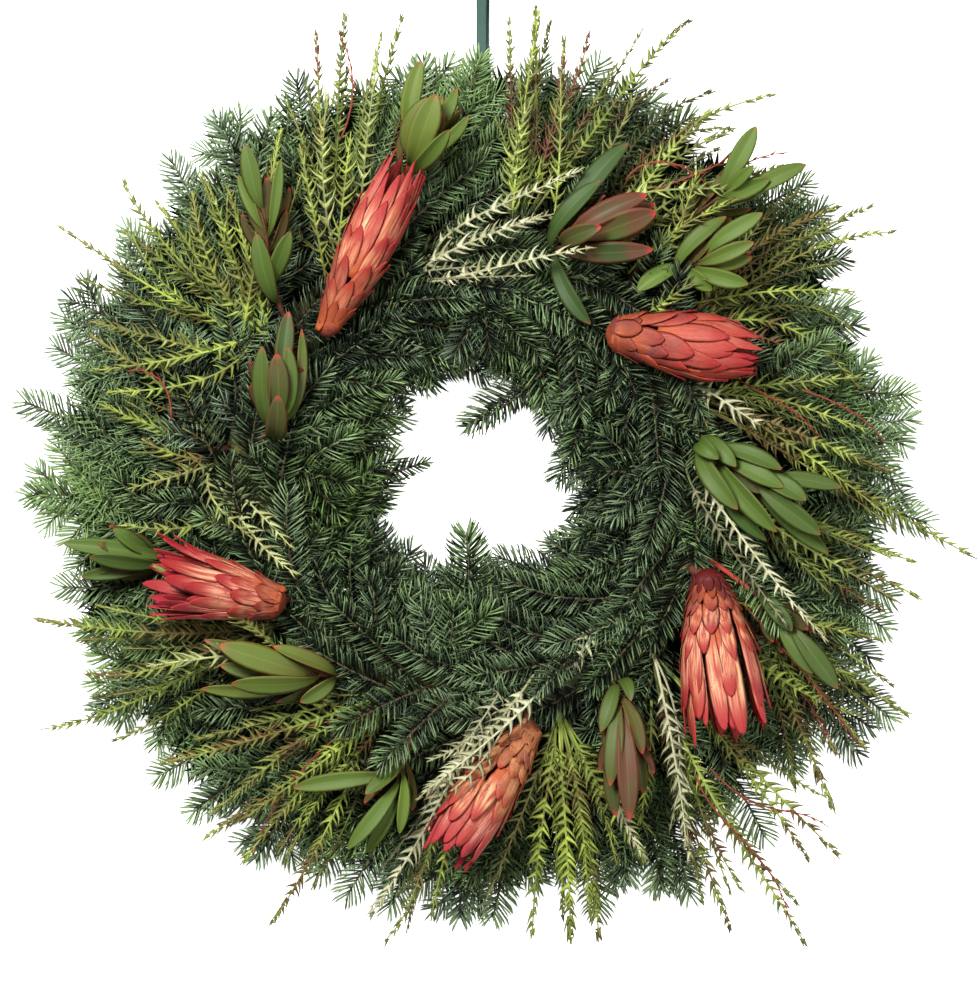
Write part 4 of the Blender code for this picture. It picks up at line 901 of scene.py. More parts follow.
def rounded(points, share):
    """Each corner of a line cut off twice, so that it turns smoothly."""
    for _ in range(2):
        near = points[:-1] + (points[1:] - points[:-1]) * share
        far = points[:-1] + (points[1:] - points[:-1]) * (1 - share)
        inner = np.stack([near, far], axis=1).reshape(-1, 3)
        points = np.concatenate([points[:1], inner, points[-1:]])
    return points


# Ribbon


def ribbon_line():
    """The ribbon's middle line: out on the lower strand, round the loop, back on the upper."""
    right, left = RIBBON_X + RIBBON_BESIDE, RIBBON_X
    middle = (right + left) / 2
    y0, y1 = RIBBON_START, RIBBON_REACH
    return np.array([
        (right, y0, 3.4), (right, y0 + 12, 2.0), (right, y0 + 30, RIBBON_LOWER_Z),
        (right, y0 + 90, RIBBON_LOWER_Z), (right, y1 - 34, RIBBON_LOWER_Z),
        (right, y1 - 14, RIBBON_LOWER_Z), (middle + 0.6, y1 - 3, 2.4), (middle + 0.2, y1, 5.2),
        (middle - 0.2, y1 - 3, 8.2), (middle - 0.6, y1 - 9, RIBBON_LOOP_Z),
        (left, y1 - 18, 8.6), (left, y1 - 34, RIBBON_UPPER_Z + 1.4),
        (left, y1 - 52, RIBBON_UPPER_Z), (left, y0 + 90, RIBBON_UPPER_Z),
        (left, y0 + 30, RIBBON_UPPER_Z), (left, y0 + 12, 3.8), (left, y0, 5.2),
    ])


def ribbon(growth):
    """A flat band whose width lies along x all the way. Gives its length."""
    line = ribbon_line()
    forward = np.gradient(line, axis=0) * (0, 1, 1)
    across = np.array((1.0, 0.0, 0.0))
    up = np.cross(across, unit(forward))
    half, thick = RIBBON_WIDTH / 2, RIBBON_THICKNESS / 2
    section = ((half, thick), (-half, thick), (-half, -thick), (half, -thick))
    rings = np.stack([line + across * x + up * z for x, z in section[::-1]], axis=1)
    steps = np.linalg.norm(np.diff(line, axis=0), axis=1)
    along = np.concatenate([[0.0], np.cumsum(steps)])
    growth.loft(rings, leaf_numbers(along, np.array((1, -1, -1, 1)), 0.5), PLAIN)
    return along[-1]


# Fir


def fir_tint(place):
    """Hue, paleness and nothing, for fir at that place."""
    hue = FIR_HUE
    # Painted light and shade: paler towards the rim, darker towards the hole
    pale = np.interp(np.linalg.norm(place[:2]), *FIR_LIGHT_AND_SHADE_BY_RADIUS)
    for x, y, radius, patch_hue, patch_pale in FIR_PATCHES:
        near = math.exp(-((place[0] - x) ** 2 + (place[1] - y) ** 2) / radius ** 2)
        hue += (patch_hue - hue) * near
        pale += patch_pale * near
    return np.array((hue, pale, 0.0))


def fir_twig(growth, way, bare, wood, chance, size=1.0):
    """A twig with rows of needles that sweep forward, closer together at its tip."""
    rod(growth, way, taper(way, wood, TIP_WOOD, 18.0), PLAIN, WOOD_SLOT, 5, chance.uniform())
    tint = fir_tint(way.points[WAY_SAMPLES * 2 // 3]) + chance.normal(0, (0.14, 0.34, 0), 3)
    for azimuth, step, share in NEEDLE_ROWS:
        at = np.arange(bare + chance.uniform(0, step), way.length - 0.3, step)
        count = len(at)
        place, forward, side, up = way.at(at)
        turn = np.radians(azimuth + chance.normal(0, 6, count))[:, None]
        out = side * np.sin(turn) + up * np.cos(turn)
        left = way.length - at
        spread = np.radians(np.interp(left, *OPENING) + chance.normal(0, 3.5, count))[:, None]
        ways = out * np.sin(spread) + forward * np.cos(spread)
        bends = (forward * chance.normal(0.30, 0.06, (count, 1)) - out * 0.06
                 + up * chance.normal(0.08, 0.05, (count, 1)))
        lengths = NEEDLE_LENGTH * size * share * chance.uniform(0.9, 1.05, count)
        lengths = lengths * np.interp(left, *TIP_LENGTHS) * np.interp(at - bare, *FOOT_LENGTHS)
        widths = NEEDLE_WIDTH * chance.uniform(0.85, 1.15, count)
        ups = (up * np.sin(turn) ** 2 - forward * np.cos(turn) ** 2
               + chance.normal(0, 0.15, (count, 3)))
        tints = tint + np.outer(np.interp(left, *TIP_PALENESS), (0.2, 1.0, 0.0))
        spikes(growth, NEEDLE_SHAPE, 0.75, place, ways, bends, ups, lengths, widths, chance, tints)


def under_twig(growth, way, chance):
    """A plain twig with broad needles on both sides, coloured dark as painted shade."""
    # Painted shade: the twig and its needles take the near-black slot
    rod(growth, way, taper(way, 1.3, TIP_WOOD, 40.0), PLAIN, THIRD_SLOT, 4)
    tint = (chance.uniform(0, 1), 0, 0)
    for lean in (-1, 1):
        at = np.arange(chance.uniform(0, UNDER_STEP), way.length, UNDER_STEP)
        count = len(at)
        place, forward, side, up = way.at(at)
        left = way.length - at
        spread = np.radians(np.interp(left, *OPENING) + chance.normal(0, 8, count))[:, None]
        rise = chance.normal(0.05, 0.12, (count, 1))
        ways = unit(side * lean * np.sin(spread) + forward * np.cos(spread) + up * rise)
        lengths = chance.uniform(*UNDER_LENGTHS, count) * np.interp(left, (0, 8), (0.7, 1))
        widths = chance.uniform(*UNDER_WIDTHS, count)
        spikes(growth, UNDER_SHAPE, 0.4, place, ways, forward * 0.2, up, lengths, widths, chance,
               tint, THIRD_SLOT)


def side_way(way, share, swing, reach, tip_z, chance):
    """A side twig out of a way, in its plane, that ends near the height tip_z."""
    place, forward, _, _ = (value[0] for value in way.at(np.array([way.length * share])))
    flat = unit(forward * (1, 1, 0))
    angle = math.radians(swing + chance.normal(0, 4))
    turned = np.array((flat[0] * math.cos(angle) - flat[1] * math.sin(angle),
                       flat[0] * math.sin(angle) + flat[1] * math.cos(angle), 0.0))
    end = place + turned * reach
    end[2] = tip_z + (place[2] - tip_z) * SIDE_FALL
    return Way([place, place + unit(forward + turned) * reach * 0.4, end])


def bough(growth, degrees, tilt, tip, twigs, bare, chance):
    """A bough along the line of its solid, with the solid's side twigs and more between."""
    start, out = seat(degrees, tilt)
    tip = np.array(tip, float)
    way = Way([start, start + out * 0.4 * np.linalg.norm(tip - start), tip])
    fir_twig(growth, way, bare, BOUGH_WOOD, chance)
    for twig in twigs:
        side = side_way(way, *twig, tip[2], chance)
        fir_twig(growth, side, BOUGH_SIDE_BARE, BOUGH_SIDE_WOOD, chance)


def loose_twig(growth, way, side_reach, chance):
    """A twig with one side twig on a side that chance picks."""
    fir_twig(growth, way, TWIG_BARE, LOOSE_WOOD, chance, chance.uniform(0.86, 1.04))
    swing = LOOSE_SWING if chance.uniform() < 0.5 else -LOOSE_SWING
    tip_z = way.points[-1][2]
    side = side_way(way, chance.uniform(0.3, 0.5), swing, side_reach, tip_z, chance)
    fir_twig(growth, side, SIDE_BARE, SIDE_WOOD, chance, SIDE_NEEDLES)


def nearest_node(kind, degrees):
    """The fir node of that kind whose root angle is nearest."""
    aside = [abs((row[0] - degrees + 180) % 360 - 180) for row in FIR_ROOTS[kind]]
    return f"{kind}_{aside.index(min(aside)) + 1}"


def hole_edge(degrees):
    return np.interp((degrees + 180) % 360 - 180, HOLE_EDGE[:, 0], HOLE_EDGE[:, 1])


def grow_fir(growths, chance):
    """Boughs, rows of twigs, the fir below them painted dark as shade, single twigs and the sprays
    at the rim.
    """
    for i, (degrees, tilt, tip) in enumerate(FIR_TOP, 1):
        bough(growths[f"fir_top_{i}"], degrees, tilt, tip, TOP_TWIGS, TOP_BARE, chance)
    for i, (degrees, tilt, tip) in enumerate(FIR_INNER, 1):
        bough(growths[f"fir_inner_{i}"], degrees, tilt, tip, INNER_TWIGS, INNER_BARE, chance)
    for i, (degrees, reach) in enumerate(FIR_BACK, 1):
        tip = polar(reach, degrees, BACK_TIP_Z)
        bough(growths[f"fir_back_{i}"], degrees, 0, tip, BACK_TWIGS, BACK_BARE, chance)
    for row in TWIG_ROWS:
        twig_row(growths, *row, chance)
    for row in UNDER_ROWS:
        under_row(growths, *row, chance)
    for name, *controls, size in SINGLE_TWIGS:
        fir_twig(growths[name], Way(controls), TWIG_BARE, BOUGH_SIDE_WOOD, chance, size)
    for x, y in FIR_TIP_PIXELS:
        rim_spray(growths, x, y, chance)


def under_row(growths, kind, count, root, end, turn, chance):
    """Twigs low down, all round the ring, coloured dark as painted shade."""
    for i in range(count):
        degrees = 360 * (i + chance.uniform(-0.3, 0.3)) / count
        start = polar(root[0], degrees, root[1])
        reach = end[0] + chance.normal(0, 4)
        if kind == "fir_inner":
            reach += hole_edge(degrees - turn) - UNDER_HOLE
        tip = polar(reach, degrees - turn, end[1])
        middle = (start + tip) / 2 + UP * chance.uniform(0, 5)
        under_twig(growths[nearest_node(kind, degrees)], Way([start, middle, tip]), chance)


def twig_row(growths, kind, count, first, root, middle, end, turn, side_reach, chance):
    """Loose twigs all round the ring, each turned clockwise from its root."""
    for i in range(count):
        degrees = first + 360 * i / count + chance.normal(0, 2.5)
        turned = turn * chance.uniform(0.85, 1.15)
        reach = end[0] + chance.normal(0, 4)
        if kind == "fir_inner":
            reach += hole_edge(degrees - turned) - ROW_HOLE
        controls = [polar(root[0], degrees, root[1]),
                    polar(middle[0] + chance.normal(0, 4), degrees - turned * 0.5,
                          middle[1] + chance.normal(0, 3)),
                    polar(reach, degrees - turned, end[1] + chance.normal(0, 4))]
        loose_twig(growths[nearest_node(kind, degrees)], Way(controls), side_reach, chance)


def rim_spray(growths, x, y, chance):
    """A spray from the moss to one tip that the photograph shows, at pixel x, y."""
    tip = np.array(((x - RING_PIXEL[0]) * MM_PER_PIXEL, (RING_PIXEL[1] - y) * MM_PER_PIXEL,
                    chance.uniform(*FIR_TIP_Z)))
    degrees = angle_of(tip)
    root = polar(MOSS_RADIUS + MOSS_HALF_WIDTH, degrees + TIP_ROOT_AHEAD_DEG, 24)
    middle = polar(220, degrees + 0.6 * TIP_ROOT_AHEAD_DEG, chance.uniform(24, 34))
    way = Way([root, middle, tip])
    growth = growths[nearest_node("fir_back", degrees)]
    fir_twig(growth, way, max(10.0, way.length - TIP_NEEDLED), SPRAY_WOOD, chance)
    for twig in TIP_TWIGS:
        side = side_way(way, *twig, tip[2], chance)
        fir_twig(growth, side, SIDE_BARE, SIDE_WOOD, chance, SIDE_NEEDLES)


# Blooms


def head_radius(share, widest, openness, base):
    """How far a bloom's outer face stands from its axis, at a share of its length."""
    rising = np.sin(math.pi / 2 * np.minimum(share / WIDEST_AT, 1))
    past = np.clip((share - WIDEST_AT) / (1 - WIDEST_AT), 0, None)
    return widest * (base + (1 - base) * rising) + widest * (openness - 1) * past ** 1.4


def bract(growth, frame, span, angle, width, lifts, profile, chance, tint):
    """One bract laid on the head: span is the shares it runs over, lifts its root and tip."""
    base, axis, side, up, widest, openness, foot = frame
    share = span[0] + (span[1] - span[0]) * BRACT_ALONG
    radius = head_radius(np.maximum(share, 0), widest, openness, foot)
    radius = radius + lifts[0] + (lifts[1] - lifts[0]) * BRACT_ALONG ** 2
    half = np.arctan(width / 2 * profile / np.maximum(radius, 4))[:, None]
    drift = chance.normal(0, 0.05) * BRACT_ALONG[:, None] ** 2
    turned = angle + drift + half * OVER
    curl = chance.uniform(-1.2, 0.8) * OVER ** 2 * profile[:, None]
    keel = chance.uniform(0.0, 0.9) * (1 - np.abs(OVER)) * BRACT_ALONG[:, None]
    reach = radius[:, None] + curl - BRACT_THICKNESS * UNDER * (1 - OVER ** 2) + keel * (1 - UNDER)
    rings = base + axis * share[:, None, None] + around(side, up, turned) * reach[..., None]
    leaf = leaf_numbers(BRACT_ALONG, OVER, chance.uniform())
    growth.loft(rings[:, ::-1], leaf[:, ::-1], tint)


def bloom(growth, name, base, tip, widest, chance):
    """A head of overlapping bracts, short at the base and long above, round its flowers."""
    hue, pale, openness, foot, first_row, first_hue, tiers = BLOOM_LOOKS[name]
    axis = tip - base
    forward = unit(axis)
    side = unit(np.cross(forward, UP))
    up = np.cross(side, forward)
    frame = (base, axis, side, up, widest, openness, foot)
    for row, (start, end, count, width, lift, shape) in enumerate(tiers):
        share = row / (len(tiers) - 1)
        for j in range(count):
            angle = (j + 0.5 * (row % 2) + chance.normal(0, 0.18)) * TURN / count
            reach = (end - start) * chance.uniform(0.80, 1.06)
            span = (start + chance.normal(0, 0.015), min(start + reach, 1.06))
            lifts = (-1.4, lift * chance.uniform(0.4, 1.6))
            tint = (first_row + (1 - first_row) * share,
                    first_hue + (hue - first_hue) * share + chance.normal(0, 0.12),
                    pale + chance.normal(0, 0.2))
            bract(growth, frame, span, angle, width * chance.uniform(0.82, 1.15), lifts,
                  BRACT_SHAPES[shape], chance, tint)
    seat_radius = head_radius(0.0, widest, openness, foot) - 0.6
    under = Way([base - forward * 8, base + forward * 6])
    rod(growth, under, ((0, 3.8), (3, 0.7 * seat_radius), (6, 0.92 * seat_radius),
                        (9, seat_radius), (under.length, seat_radius - 1)),
        (first_row, first_hue, 0.0), sides=16)
    flower_mass(growth, base, axis, side, up, widest, chance)


def flower_mass(growth, base, axis, side, up, widest, chance):
    """The dark flowers inside a bloom: a blunt core, and slim styles that lean together."""
    core = Way([base, base + axis * 0.25, base + axis * 0.5])
    rod(growth, core, [(share * core.length, wide * widest) for share, wide in CORE_SHAPE],
        STYLE_TINT, sides=14)
    out = around(side, up, chance.uniform(0, TURN, STYLES))
    reach = widest * 0.5 * np.sqrt(chance.uniform(0, 1, STYLES))[:, None]
    roots = base + axis * 0.4 + out * reach
    ends = base + axis * chance.uniform(0.72, 0.86, (STYLES, 1)) + out * reach * 0.6
    lengths = np.linalg.norm(ends - roots, axis=1)
    spikes(growth, FIBRE_SHAPE, 0.8, roots, unit(ends - roots), out * 0.05, out, lengths,
           chance.uniform(1.2, 2.0, STYLES), chance, STYLE_TINT)


def protea(growth, name, base, tip, widest, chance):
    """A stem from the moss, and its bloom."""
    base, tip = np.array(base, float), np.array(tip, float)
    forward = unit(tip - base)
    tilt = OUTER_TILT if np.linalg.norm(base[:2]) > MOSS_RADIUS else INNER_TILT
    start, out = seat(angle_of(base), tilt)
    stem = Way([start, start + out * 12, base - forward * 12, base + forward * 8])
    rod(growth, stem, taper(stem, *BLOOM_STEM), PLAIN, WOOD_SLOT, 10)
    bloom(growth, name, base, tip, widest, chance)


# Shoots


def lance_leaf(growth, way, width, chance, tint):
    """A thin, hollowed leaf whose underside is closer at the edges."""
    cup = chance.uniform(0.10, 0.34)
    place, _, side, up = way.at(LEAF_SHARES * way.length)
    half = width * LEAF_WIDTHS[:, None] / 2
    height = half * cup * np.abs(OVER) ** 1.5 - UNDER * LEAF_THICKNESS * (1 - OVER ** 2)
    rings = (place[:, None] + side[:, None] * (half * OVER)[..., None]
             + up[:, None] * height[..., None])
    growth.loft(rings, leaf_numbers(LEAF_SHARES, OVER, chance.uniform()), tint)


def leucadendron(growth, number, degrees, tilt, way, leaves, tint, chance):
    """A red stem from the moss, its leaves along the solid's, and smaller ones between."""
    via, end = (np.array(p, float) for p in way)
    start, out = seat(degrees, tilt)
    stem = Way([start, start + out * 14, via, end])
    rod(growth, stem, taper(stem, *SHOOT_STEM), (number in RED_STEMMED, 0, 0), WOOD_SLOT, 8)
    maroon = MAROON_LEAVES.get(number, {})
    for i, (*row, width) in enumerate(leaves):
        base, tip = np.array(row, float).reshape(2, 3)
        lane = leaf_way(stem, end, base, tip, chance)
        own = tint + chance.normal(0, (0.06, 0.14, 0.08), 3)
        own[0] = maroon.get(i, own[0])
        lance_leaf(growth, lane, width * 1.05, chance, own)
    small_leaves(growth, stem, unit(end - via), tint, chance)


def leaf_way(stem, end, base, tip, chance):
    """The line of a leaf: out of the stem, past its base and over its belly to its tip."""
    stops, along, _, _ = stem.at(stem.length * np.arange(12, 38) / 40)
    nearest = np.argmin(np.linalg.norm(stops - (base - unit(tip - base) * 10), axis=1))
    root, forward = stops[nearest], along[nearest]
    toward = base - root
    away = unit(toward - (toward @ forward) * forward)
    first = root + unit(away + 0.5 * forward) * max(np.linalg.norm(toward) * 0.7, 8)
    belly = (base + tip) / 2 + UP * 0.10 * np.linalg.norm(tip - base)
    lean = unit((tip + base) / 2 - end) * (1, 1, 0)
    return Way([root, first, belly, tip], UP + lean * 0.45 + chance.normal(0, 0.12, 3))


def small_leaves(growth, stem, forward, tint, chance):
    """Leaves that wind up the end of a stem, between the others."""
    side = unit(np.cross(UP, forward))
    for i in range(SMALL_LEAVES):
        root = stem.at(np.array([stem.length * (0.62 + 0.035 * i)]))[0][0]
        turn = i * SMALL_LEAF_TURN + chance.normal(0, 0.2)
        out = side * math.cos(turn) + np.cross(forward, side) * (0.4 * math.sin(turn) - 0.25)
        reach = chance.uniform(26, 40)
        tip = root + forward * reach * 0.9 + out * reach * 0.5
        lane = Way([root, root + (out + forward) * reach * 0.35, tip], UP + out)
        lance_leaf(growth, lane, chance.uniform(9, 12), chance, np.add(tint, SMALL_LEAF_TINT))


# Grevillea


def lobed(growth, way, bare, reach, step, tint, chance, rib=1.2):
    """A sprig: a slim rib with curved, pointed lobes on both sides, small at its tip."""
    rod(growth, way, taper(way, rib, 0.45, 8.0), tint, chance=chance.uniform())
    open_deg = chance.uniform(*LOBE_OPENINGS) + 4 * tint[0]
    step = step * chance.uniform(1.0, 1.5) * (1 + 0.35 * tint[0])
    broad = LOBE_WIDTH + 0.02 * tint[0]
    for lean in (-1, 1):
        at = np.arange(bare + chance.uniform(0, step), way.length - 2, step)
        at = at + chance.normal(0, 0.18 * step, len(at))
        at = np.clip(at, 0, way.length - 1)[chance.uniform(0, 1, len(at)) > LOBES_MISSING]
        count = len(at)
        place, forward, side, up = way.at(at)
        share = np.clip((at - bare) / max(way.length - bare, 1), 0, 1)
        spread = np.radians(np.interp(share, (0, 0.7, 1), (open_deg, open_deg - 8, 26))
                            + chance.normal(0, 12, count))[:, None]
        rise = chance.normal(0.15, 0.22, (count, 1))
        ways = unit(side * lean * np.sin(spread) + forward * np.cos(spread) + up * rise)
        bends = (forward * chance.normal(0.46, 0.16, (count, 1)) - side * lean * 0.14
                 + up * chance.normal(0, 0.15, (count, 1)))
        lengths = 1.1 * reach * np.interp(share, *LOBE_LENGTHS)
        lengths = lengths * chance.uniform(0.72, 1.05) * chance.uniform(0.75, 1.15, count)
        widths = reach * np.interp(share, (0, 1), (broad, broad - 0.1))
        widths = widths * chance.uniform(0.85, 1.15, count)
        spikes(growth, LOBE_SHAPE, 0.35, place, ways, bends, up, lengths, widths, chance, tint)


def grevillea(growth, bunch, degrees, tilt, sprigs, tint, chance):
    """A bunch: each sprig along its solid, and shorter ones beside it."""
    start, out = seat(degrees, tilt)
    foot = Way([start, start + out * 13])
    rod(growth, foot, BUNCH_FOOT, PLAIN, WOOD_SLOT, 8)
    for i, row in enumerate(sprigs):
        via, tip = np.array(row, float).reshape(2, 3)
        root = start + out * (4 + 1.6 * i)
        first = root + unit(out + 1.3 * unit(via - root)) * 18
        own = np.array(tint) + chance.normal(0, (0.05, 0.2, 0.1), 3)
        if (bunch, i) in CREAM_SPRIGS:
            own = np.array(CREAM_TONE)
        cream = own[0] > 0.5
        sway = chance.normal(0, (7, 7, 3), 3)
        way = Way([root, first, via + sway, (via + tip) / 2 - sway * 0.6, tip])
        reach = chance.uniform(9.5, 12.0) + 2.5 * own[0] + 3.0 * (bunch == BROAD_BUNCH)
        bare = BARE_SPRIGS.get((bunch, i), BARE_SHARE)
        lobed(growth, way, way.length * bare, reach, 4.8, own, chance)
        for lean in (-1,) if cream else (-1, 1):
            sprig_beside(growth, (root, first, via, tip), lean, own, chance)


def sprig_beside(growth, line, lean, tint, chance):
    """A shorter sprig on one side of the line root, first, via and tip, darker as painted shade."""
    root, first, via, tip = line
    beside = unit(np.cross(UP, tip - via)) * lean * chance.uniform(9, 24)
    end = via + (tip - via) * chance.uniform(0.5, 0.9) + beside
    end[2] += chance.uniform(-12, 2)
    sway = chance.normal(0, (8, 8, 3), 3)
    way = Way([root, first, via + beside * 0.3 + sway, end])
    # Painted shade: the sprig beside is darker by a chance amount
    tint = tint + (0, chance.normal(0.1, 0.3), chance.uniform(0, 0.6))
    lobed(growth, way, way.length * 0.26, chance.uniform(7, 10.5), 4.6, tint, chance, 1.0)


def curl(growth, controls, chance):
    """A thin red stem of new growth with small hooks."""
    controls = np.array(controls, float)
    controls[1:-1] += chance.normal(0, (9, 9, 3), (len(controls) - 2, 3))
    way = Way(controls)
    rod(growth, way, taper(way, 0.75, 0.35, 6.0), PLAIN, THIRD_SLOT, 5)
    at = np.arange(way.length * 0.3, way.length - 1, 6.5)
    count = len(at)
    place, forward, side, up = way.at(at)
    lean = np.where(np.arange(count) % 2, 1.0, -1.0)[:, None]
    ways = unit(side * lean * 0.6 + forward + up * chance.normal(0.2, 0.2, (count, 1)))
    bends = side * lean * -0.3 + up * 0.1
    spikes(growth, LOBE_SHAPE, 0.6, place, ways, bends, up, chance.uniform(5, 11, count),
           np.full(count, 1.2), chance, (0.3, 0, 0), THIRD_SLOT)


def grow_grevillea(growths, chance):
    """The bunches, more sprigs beside them, and the curls."""
    for bunch, (row, tint) in enumerate(zip(GREVILLEAS, BUNCH_TONES), 1):
        grevillea(growths[f"grevillea_{bunch}"], bunch, *row, tint, chance)
    for bunch, *controls, cream in MORE_SPRIGS:
        way = Way(controls)
        tint = (cream, 0.2 * (1 - cream), 0.0)
        lobed(growths[f"grevillea_{bunch}"], way, way.length * 0.12, 11.0 + 3 * cream, 5.0, tint,
              chance, 1.1)
    for bunch, *controls in CURLS:
        curl(growths[f"grevillea_{bunch}"], controls, chance)


# Materials


class Shader:
    """A material whose nodes are added and joined by short calls."""

    def __init__(self, name, roughness, metallic=0.0, specular=0.5):
        self.material = bpy.data.materials.new(name)
        self.material.use_nodes = True
        self.tree = self.material.node_tree
        self.surface = self.tree.nodes["Principled BSDF"]
        self.surface.inputs["Roughness"].default_value = roughness
        self.surface.inputs["Metallic"].default_value = metallic
        self.surface.inputs["Specular IOR Level"].default_value = specular

    def put(self, socket, value):
        """Joins a socket to an output, or sets it."""
        if isinstance(value, bpy.types.NodeSocket):
            self.tree.links.new(value, socket)
        else:
            socket.default_value = value

    def node(self, kind, inputs=(), **settings):
        """A new node, with its settings, and its inputs as {name or number: value}."""
        node = self.tree.nodes.new("ShaderNode" + kind)
        for name, value in settings.items():
            setattr(node, name, value)
        for socket, value in dict(inputs).items():
            self.put(node.inputs[socket], value)
        return node

    def math(self, operation, *values):
        return self.node("Math", enumerate(values), operation=operation).outputs[0]

    def times(self, product, *factors):
        for factor in factors:
            product = self.math("MULTIPLY", product, factor)
        return product

    def steps(self, value, low, high):
        """0 where value is at low, 1 at high, smooth between."""
        inputs = {"Value": value, "From Min": low, "From Max": high}
        return self.node("MapRange", inputs, interpolation_type="SMOOTHSTEP").outputs[0]

    def mix(self, share, first, second):
        inputs = {"Factor": share, 6: first, 7: second}
        return self.node("Mix", inputs, data_type="RGBA").outputs[2]

    def numbers(self, name):
        """The three numbers of an attribute."""
        vector = self.node("Attribute", attribute_name=name).outputs["Vector"]
        return tuple(self.node("SeparateXYZ", {0: vector}).outputs)

    def position(self):
        return self.node("NewGeometry").outputs["Position"]

    def noise(self, vector, scale, detail=3.0):
        inputs = {"Vector": vector, "Scale": scale, "Detail": detail}
        return self.node("TexNoise", inputs).outputs[0]

    def streaks(self, scales, scale, detail=3.0):
        """Noise drawn out along a leaf by scales along, across and by chance."""
        parts = [self.times(part, by) for part, by in zip(self.numbers("leaf"), scales)]
        vector = self.node("CombineXYZ", enumerate(parts)).outputs[0]
        return self.noise(vector, scale, detail)

    def cells(self, vector, scale):
        return self.node("TexVoronoi", {"Vector": vector, "Scale": scale}).outputs["Distance"]

    def bump(self, height, strength, distance):
        inputs = {"Height": height, "Strength": strength, "Distance": distance}
        self.put(self.surface.inputs["Normal"], self.node("Bump", inputs).outputs[0])

    def over(self, body, *layers):
        """A colour with others laid over it in turn, each as (share, red, green, blue)."""
        for share, *colour in layers:
            body = self.mix(share, body, tone(*colour))
        return body

    def colour(self, body, *layers):
        """The material, with that for its colour."""
        self.put(self.surface.inputs["Base Color"], self.over(body, *layers))
        return self.material


def needle_material():
    """Green needles with paler ones among them, darkest at the root as painted shade, with pale
    edges that are partly their own pale bands and partly painted highlight.
    """
    made = Shader("fir_needle", 0.38, specular=0.45)
    along, across, chance = made.numbers("leaf")
    hue, pale, _ = made.numbers("tint")
    dark = made.mix(hue, tone(9, 20, 14), tone(18, 36, 10))
    light = made.mix(hue, tone(128, 148, 122), tone(134, 166, 88))
    shade = made.math("MULTIPLY_ADD", chance, 0.7, 0.04)
    shade = made.math("ADD", shade, made.times(pale, 0.42))
    # Painted shade: each needle darker towards its root, by the twig
    shade = made.math("SUBTRACT", shade, made.times(made.steps(along, 0.55, 0.0), 0.4))
    body = made.mix(made.steps(shade, -0.1, 0.95), dark, light)
    # Pale edges: partly the needles' own pale bands, partly painted highlight
    pale_band_and_highlight = made.times(shade, 0.6, made.steps(made.math("ABSOLUTE", across), 0.45, 0.95))
    pale_tip = made.times(shade, 0.5, made.steps(along, 0.8, 1.0))
    return made.colour(body, (pale_band_and_highlight, 180, 198, 170), (pale_tip, 158, 172, 96))


def painted_shade_fir_material():
    """The dull fir underneath, its near-black colour painted shade."""
    made = Shader("fir_painted_shade", 0.9, specular=0.05)
    *_, chance = made.numbers("leaf")
    # Painted shade: the fir below the rest is coloured near-black
    return made.colour(made.mix(chance, tone(10, 19, 12), tone(28, 45, 25)))


def bark_material(name, first, second):
    """Grained bark in two tones, red where the tint says so."""
    made = Shader(name, 0.7)
    red, *_ = made.numbers("tint")
    grain = made.noise(made.position(), 900.0)
    made.bump(grain, 0.35, 0.0006)
    body = made.mix(made.steps(grain, 0.35, 0.65), first, second)
    return made.colour(body, (red, 156, 62, 44))


def shoot_material():
    """Smooth leaves: red margins and tips where the shoot is maroon, and faint veins."""
    made = Shader("leucadendron_leaf", 0.5, specular=0.22)
    along, across, chance = made.numbers("leaf")
    maroon, yellow, dark = made.numbers("tint")
    edge = made.math("ABSOLUTE", across)
    patches = made.noise(made.position(), 34.0)
    veins = made.streaks((4.0, 16.0, 1.0), 2.0)
    red = made.math("MINIMUM", made.math("MULTIPLY_ADD", maroon, 1.6, 0.22), 1.0)
    made.bump(veins, 0.12, 0.0004)
    return made.colour(
        made.mix(yellow, tone(58, 78, 43), tone(99, 119, 51)),
        (made.times(chance, 0.4), 78, 99, 47),
        (made.steps(dark, 0.0, 1.4), 34, 54, 30),
        (made.times(made.steps(along, 0.4, 0.0), 0.35), 70, 62, 34),
        (made.times(maroon, made.steps(patches, 0.25, 0.6), 0.92), 101, 65, 51),
        (made.times(made.steps(edge, 0.10, 0.0), 0.10), 160, 176, 100),
        (made.times(made.steps(veins, 0.5, 0.7), 0.12), 56, 84, 38),
        (made.times(made.steps(edge, 0.86, 1.0), red, 0.8), 150, 58, 46),
        (made.times(made.steps(along, 0.9, 1.0), red, 0.9), 172, 60, 58),
    )


def lobe_material():
    """Yellow-green lobes, cream in some sprigs, red-brown towards some tips, and darker as painted
    shade where the tint says so.
    """
    made = Shader("grevillea_leaf", 0.55, specular=0.3)
    along, _, chance = made.numbers("leaf")
    cream, red, dark = made.numbers("tint")
    large = made.noise(made.position(), 26.0)
    green = made.mix(chance, tone(97, 113, 50), tone(166, 180, 86))
    green = made.over(green, (made.times(made.steps(large, 0.4, 0.65), 0.6), 84, 88, 46))
    pale = made.mix(chance, tone(150, 149, 114), tone(198, 198, 166))
    return made.colour(
        made.mix(made.steps(cream, 0.0, 1.0), green, pale),
        (made.times(red, made.steps(large, 0.42, 0.6)), 112, 70, 52),
        # Painted shade: darker by the tint's third number
        (made.times(dark, 0.9), 38, 46, 24),
        (made.times(made.steps(along, 0.72, 1.0), 0.4), 184, 182, 108),
    )


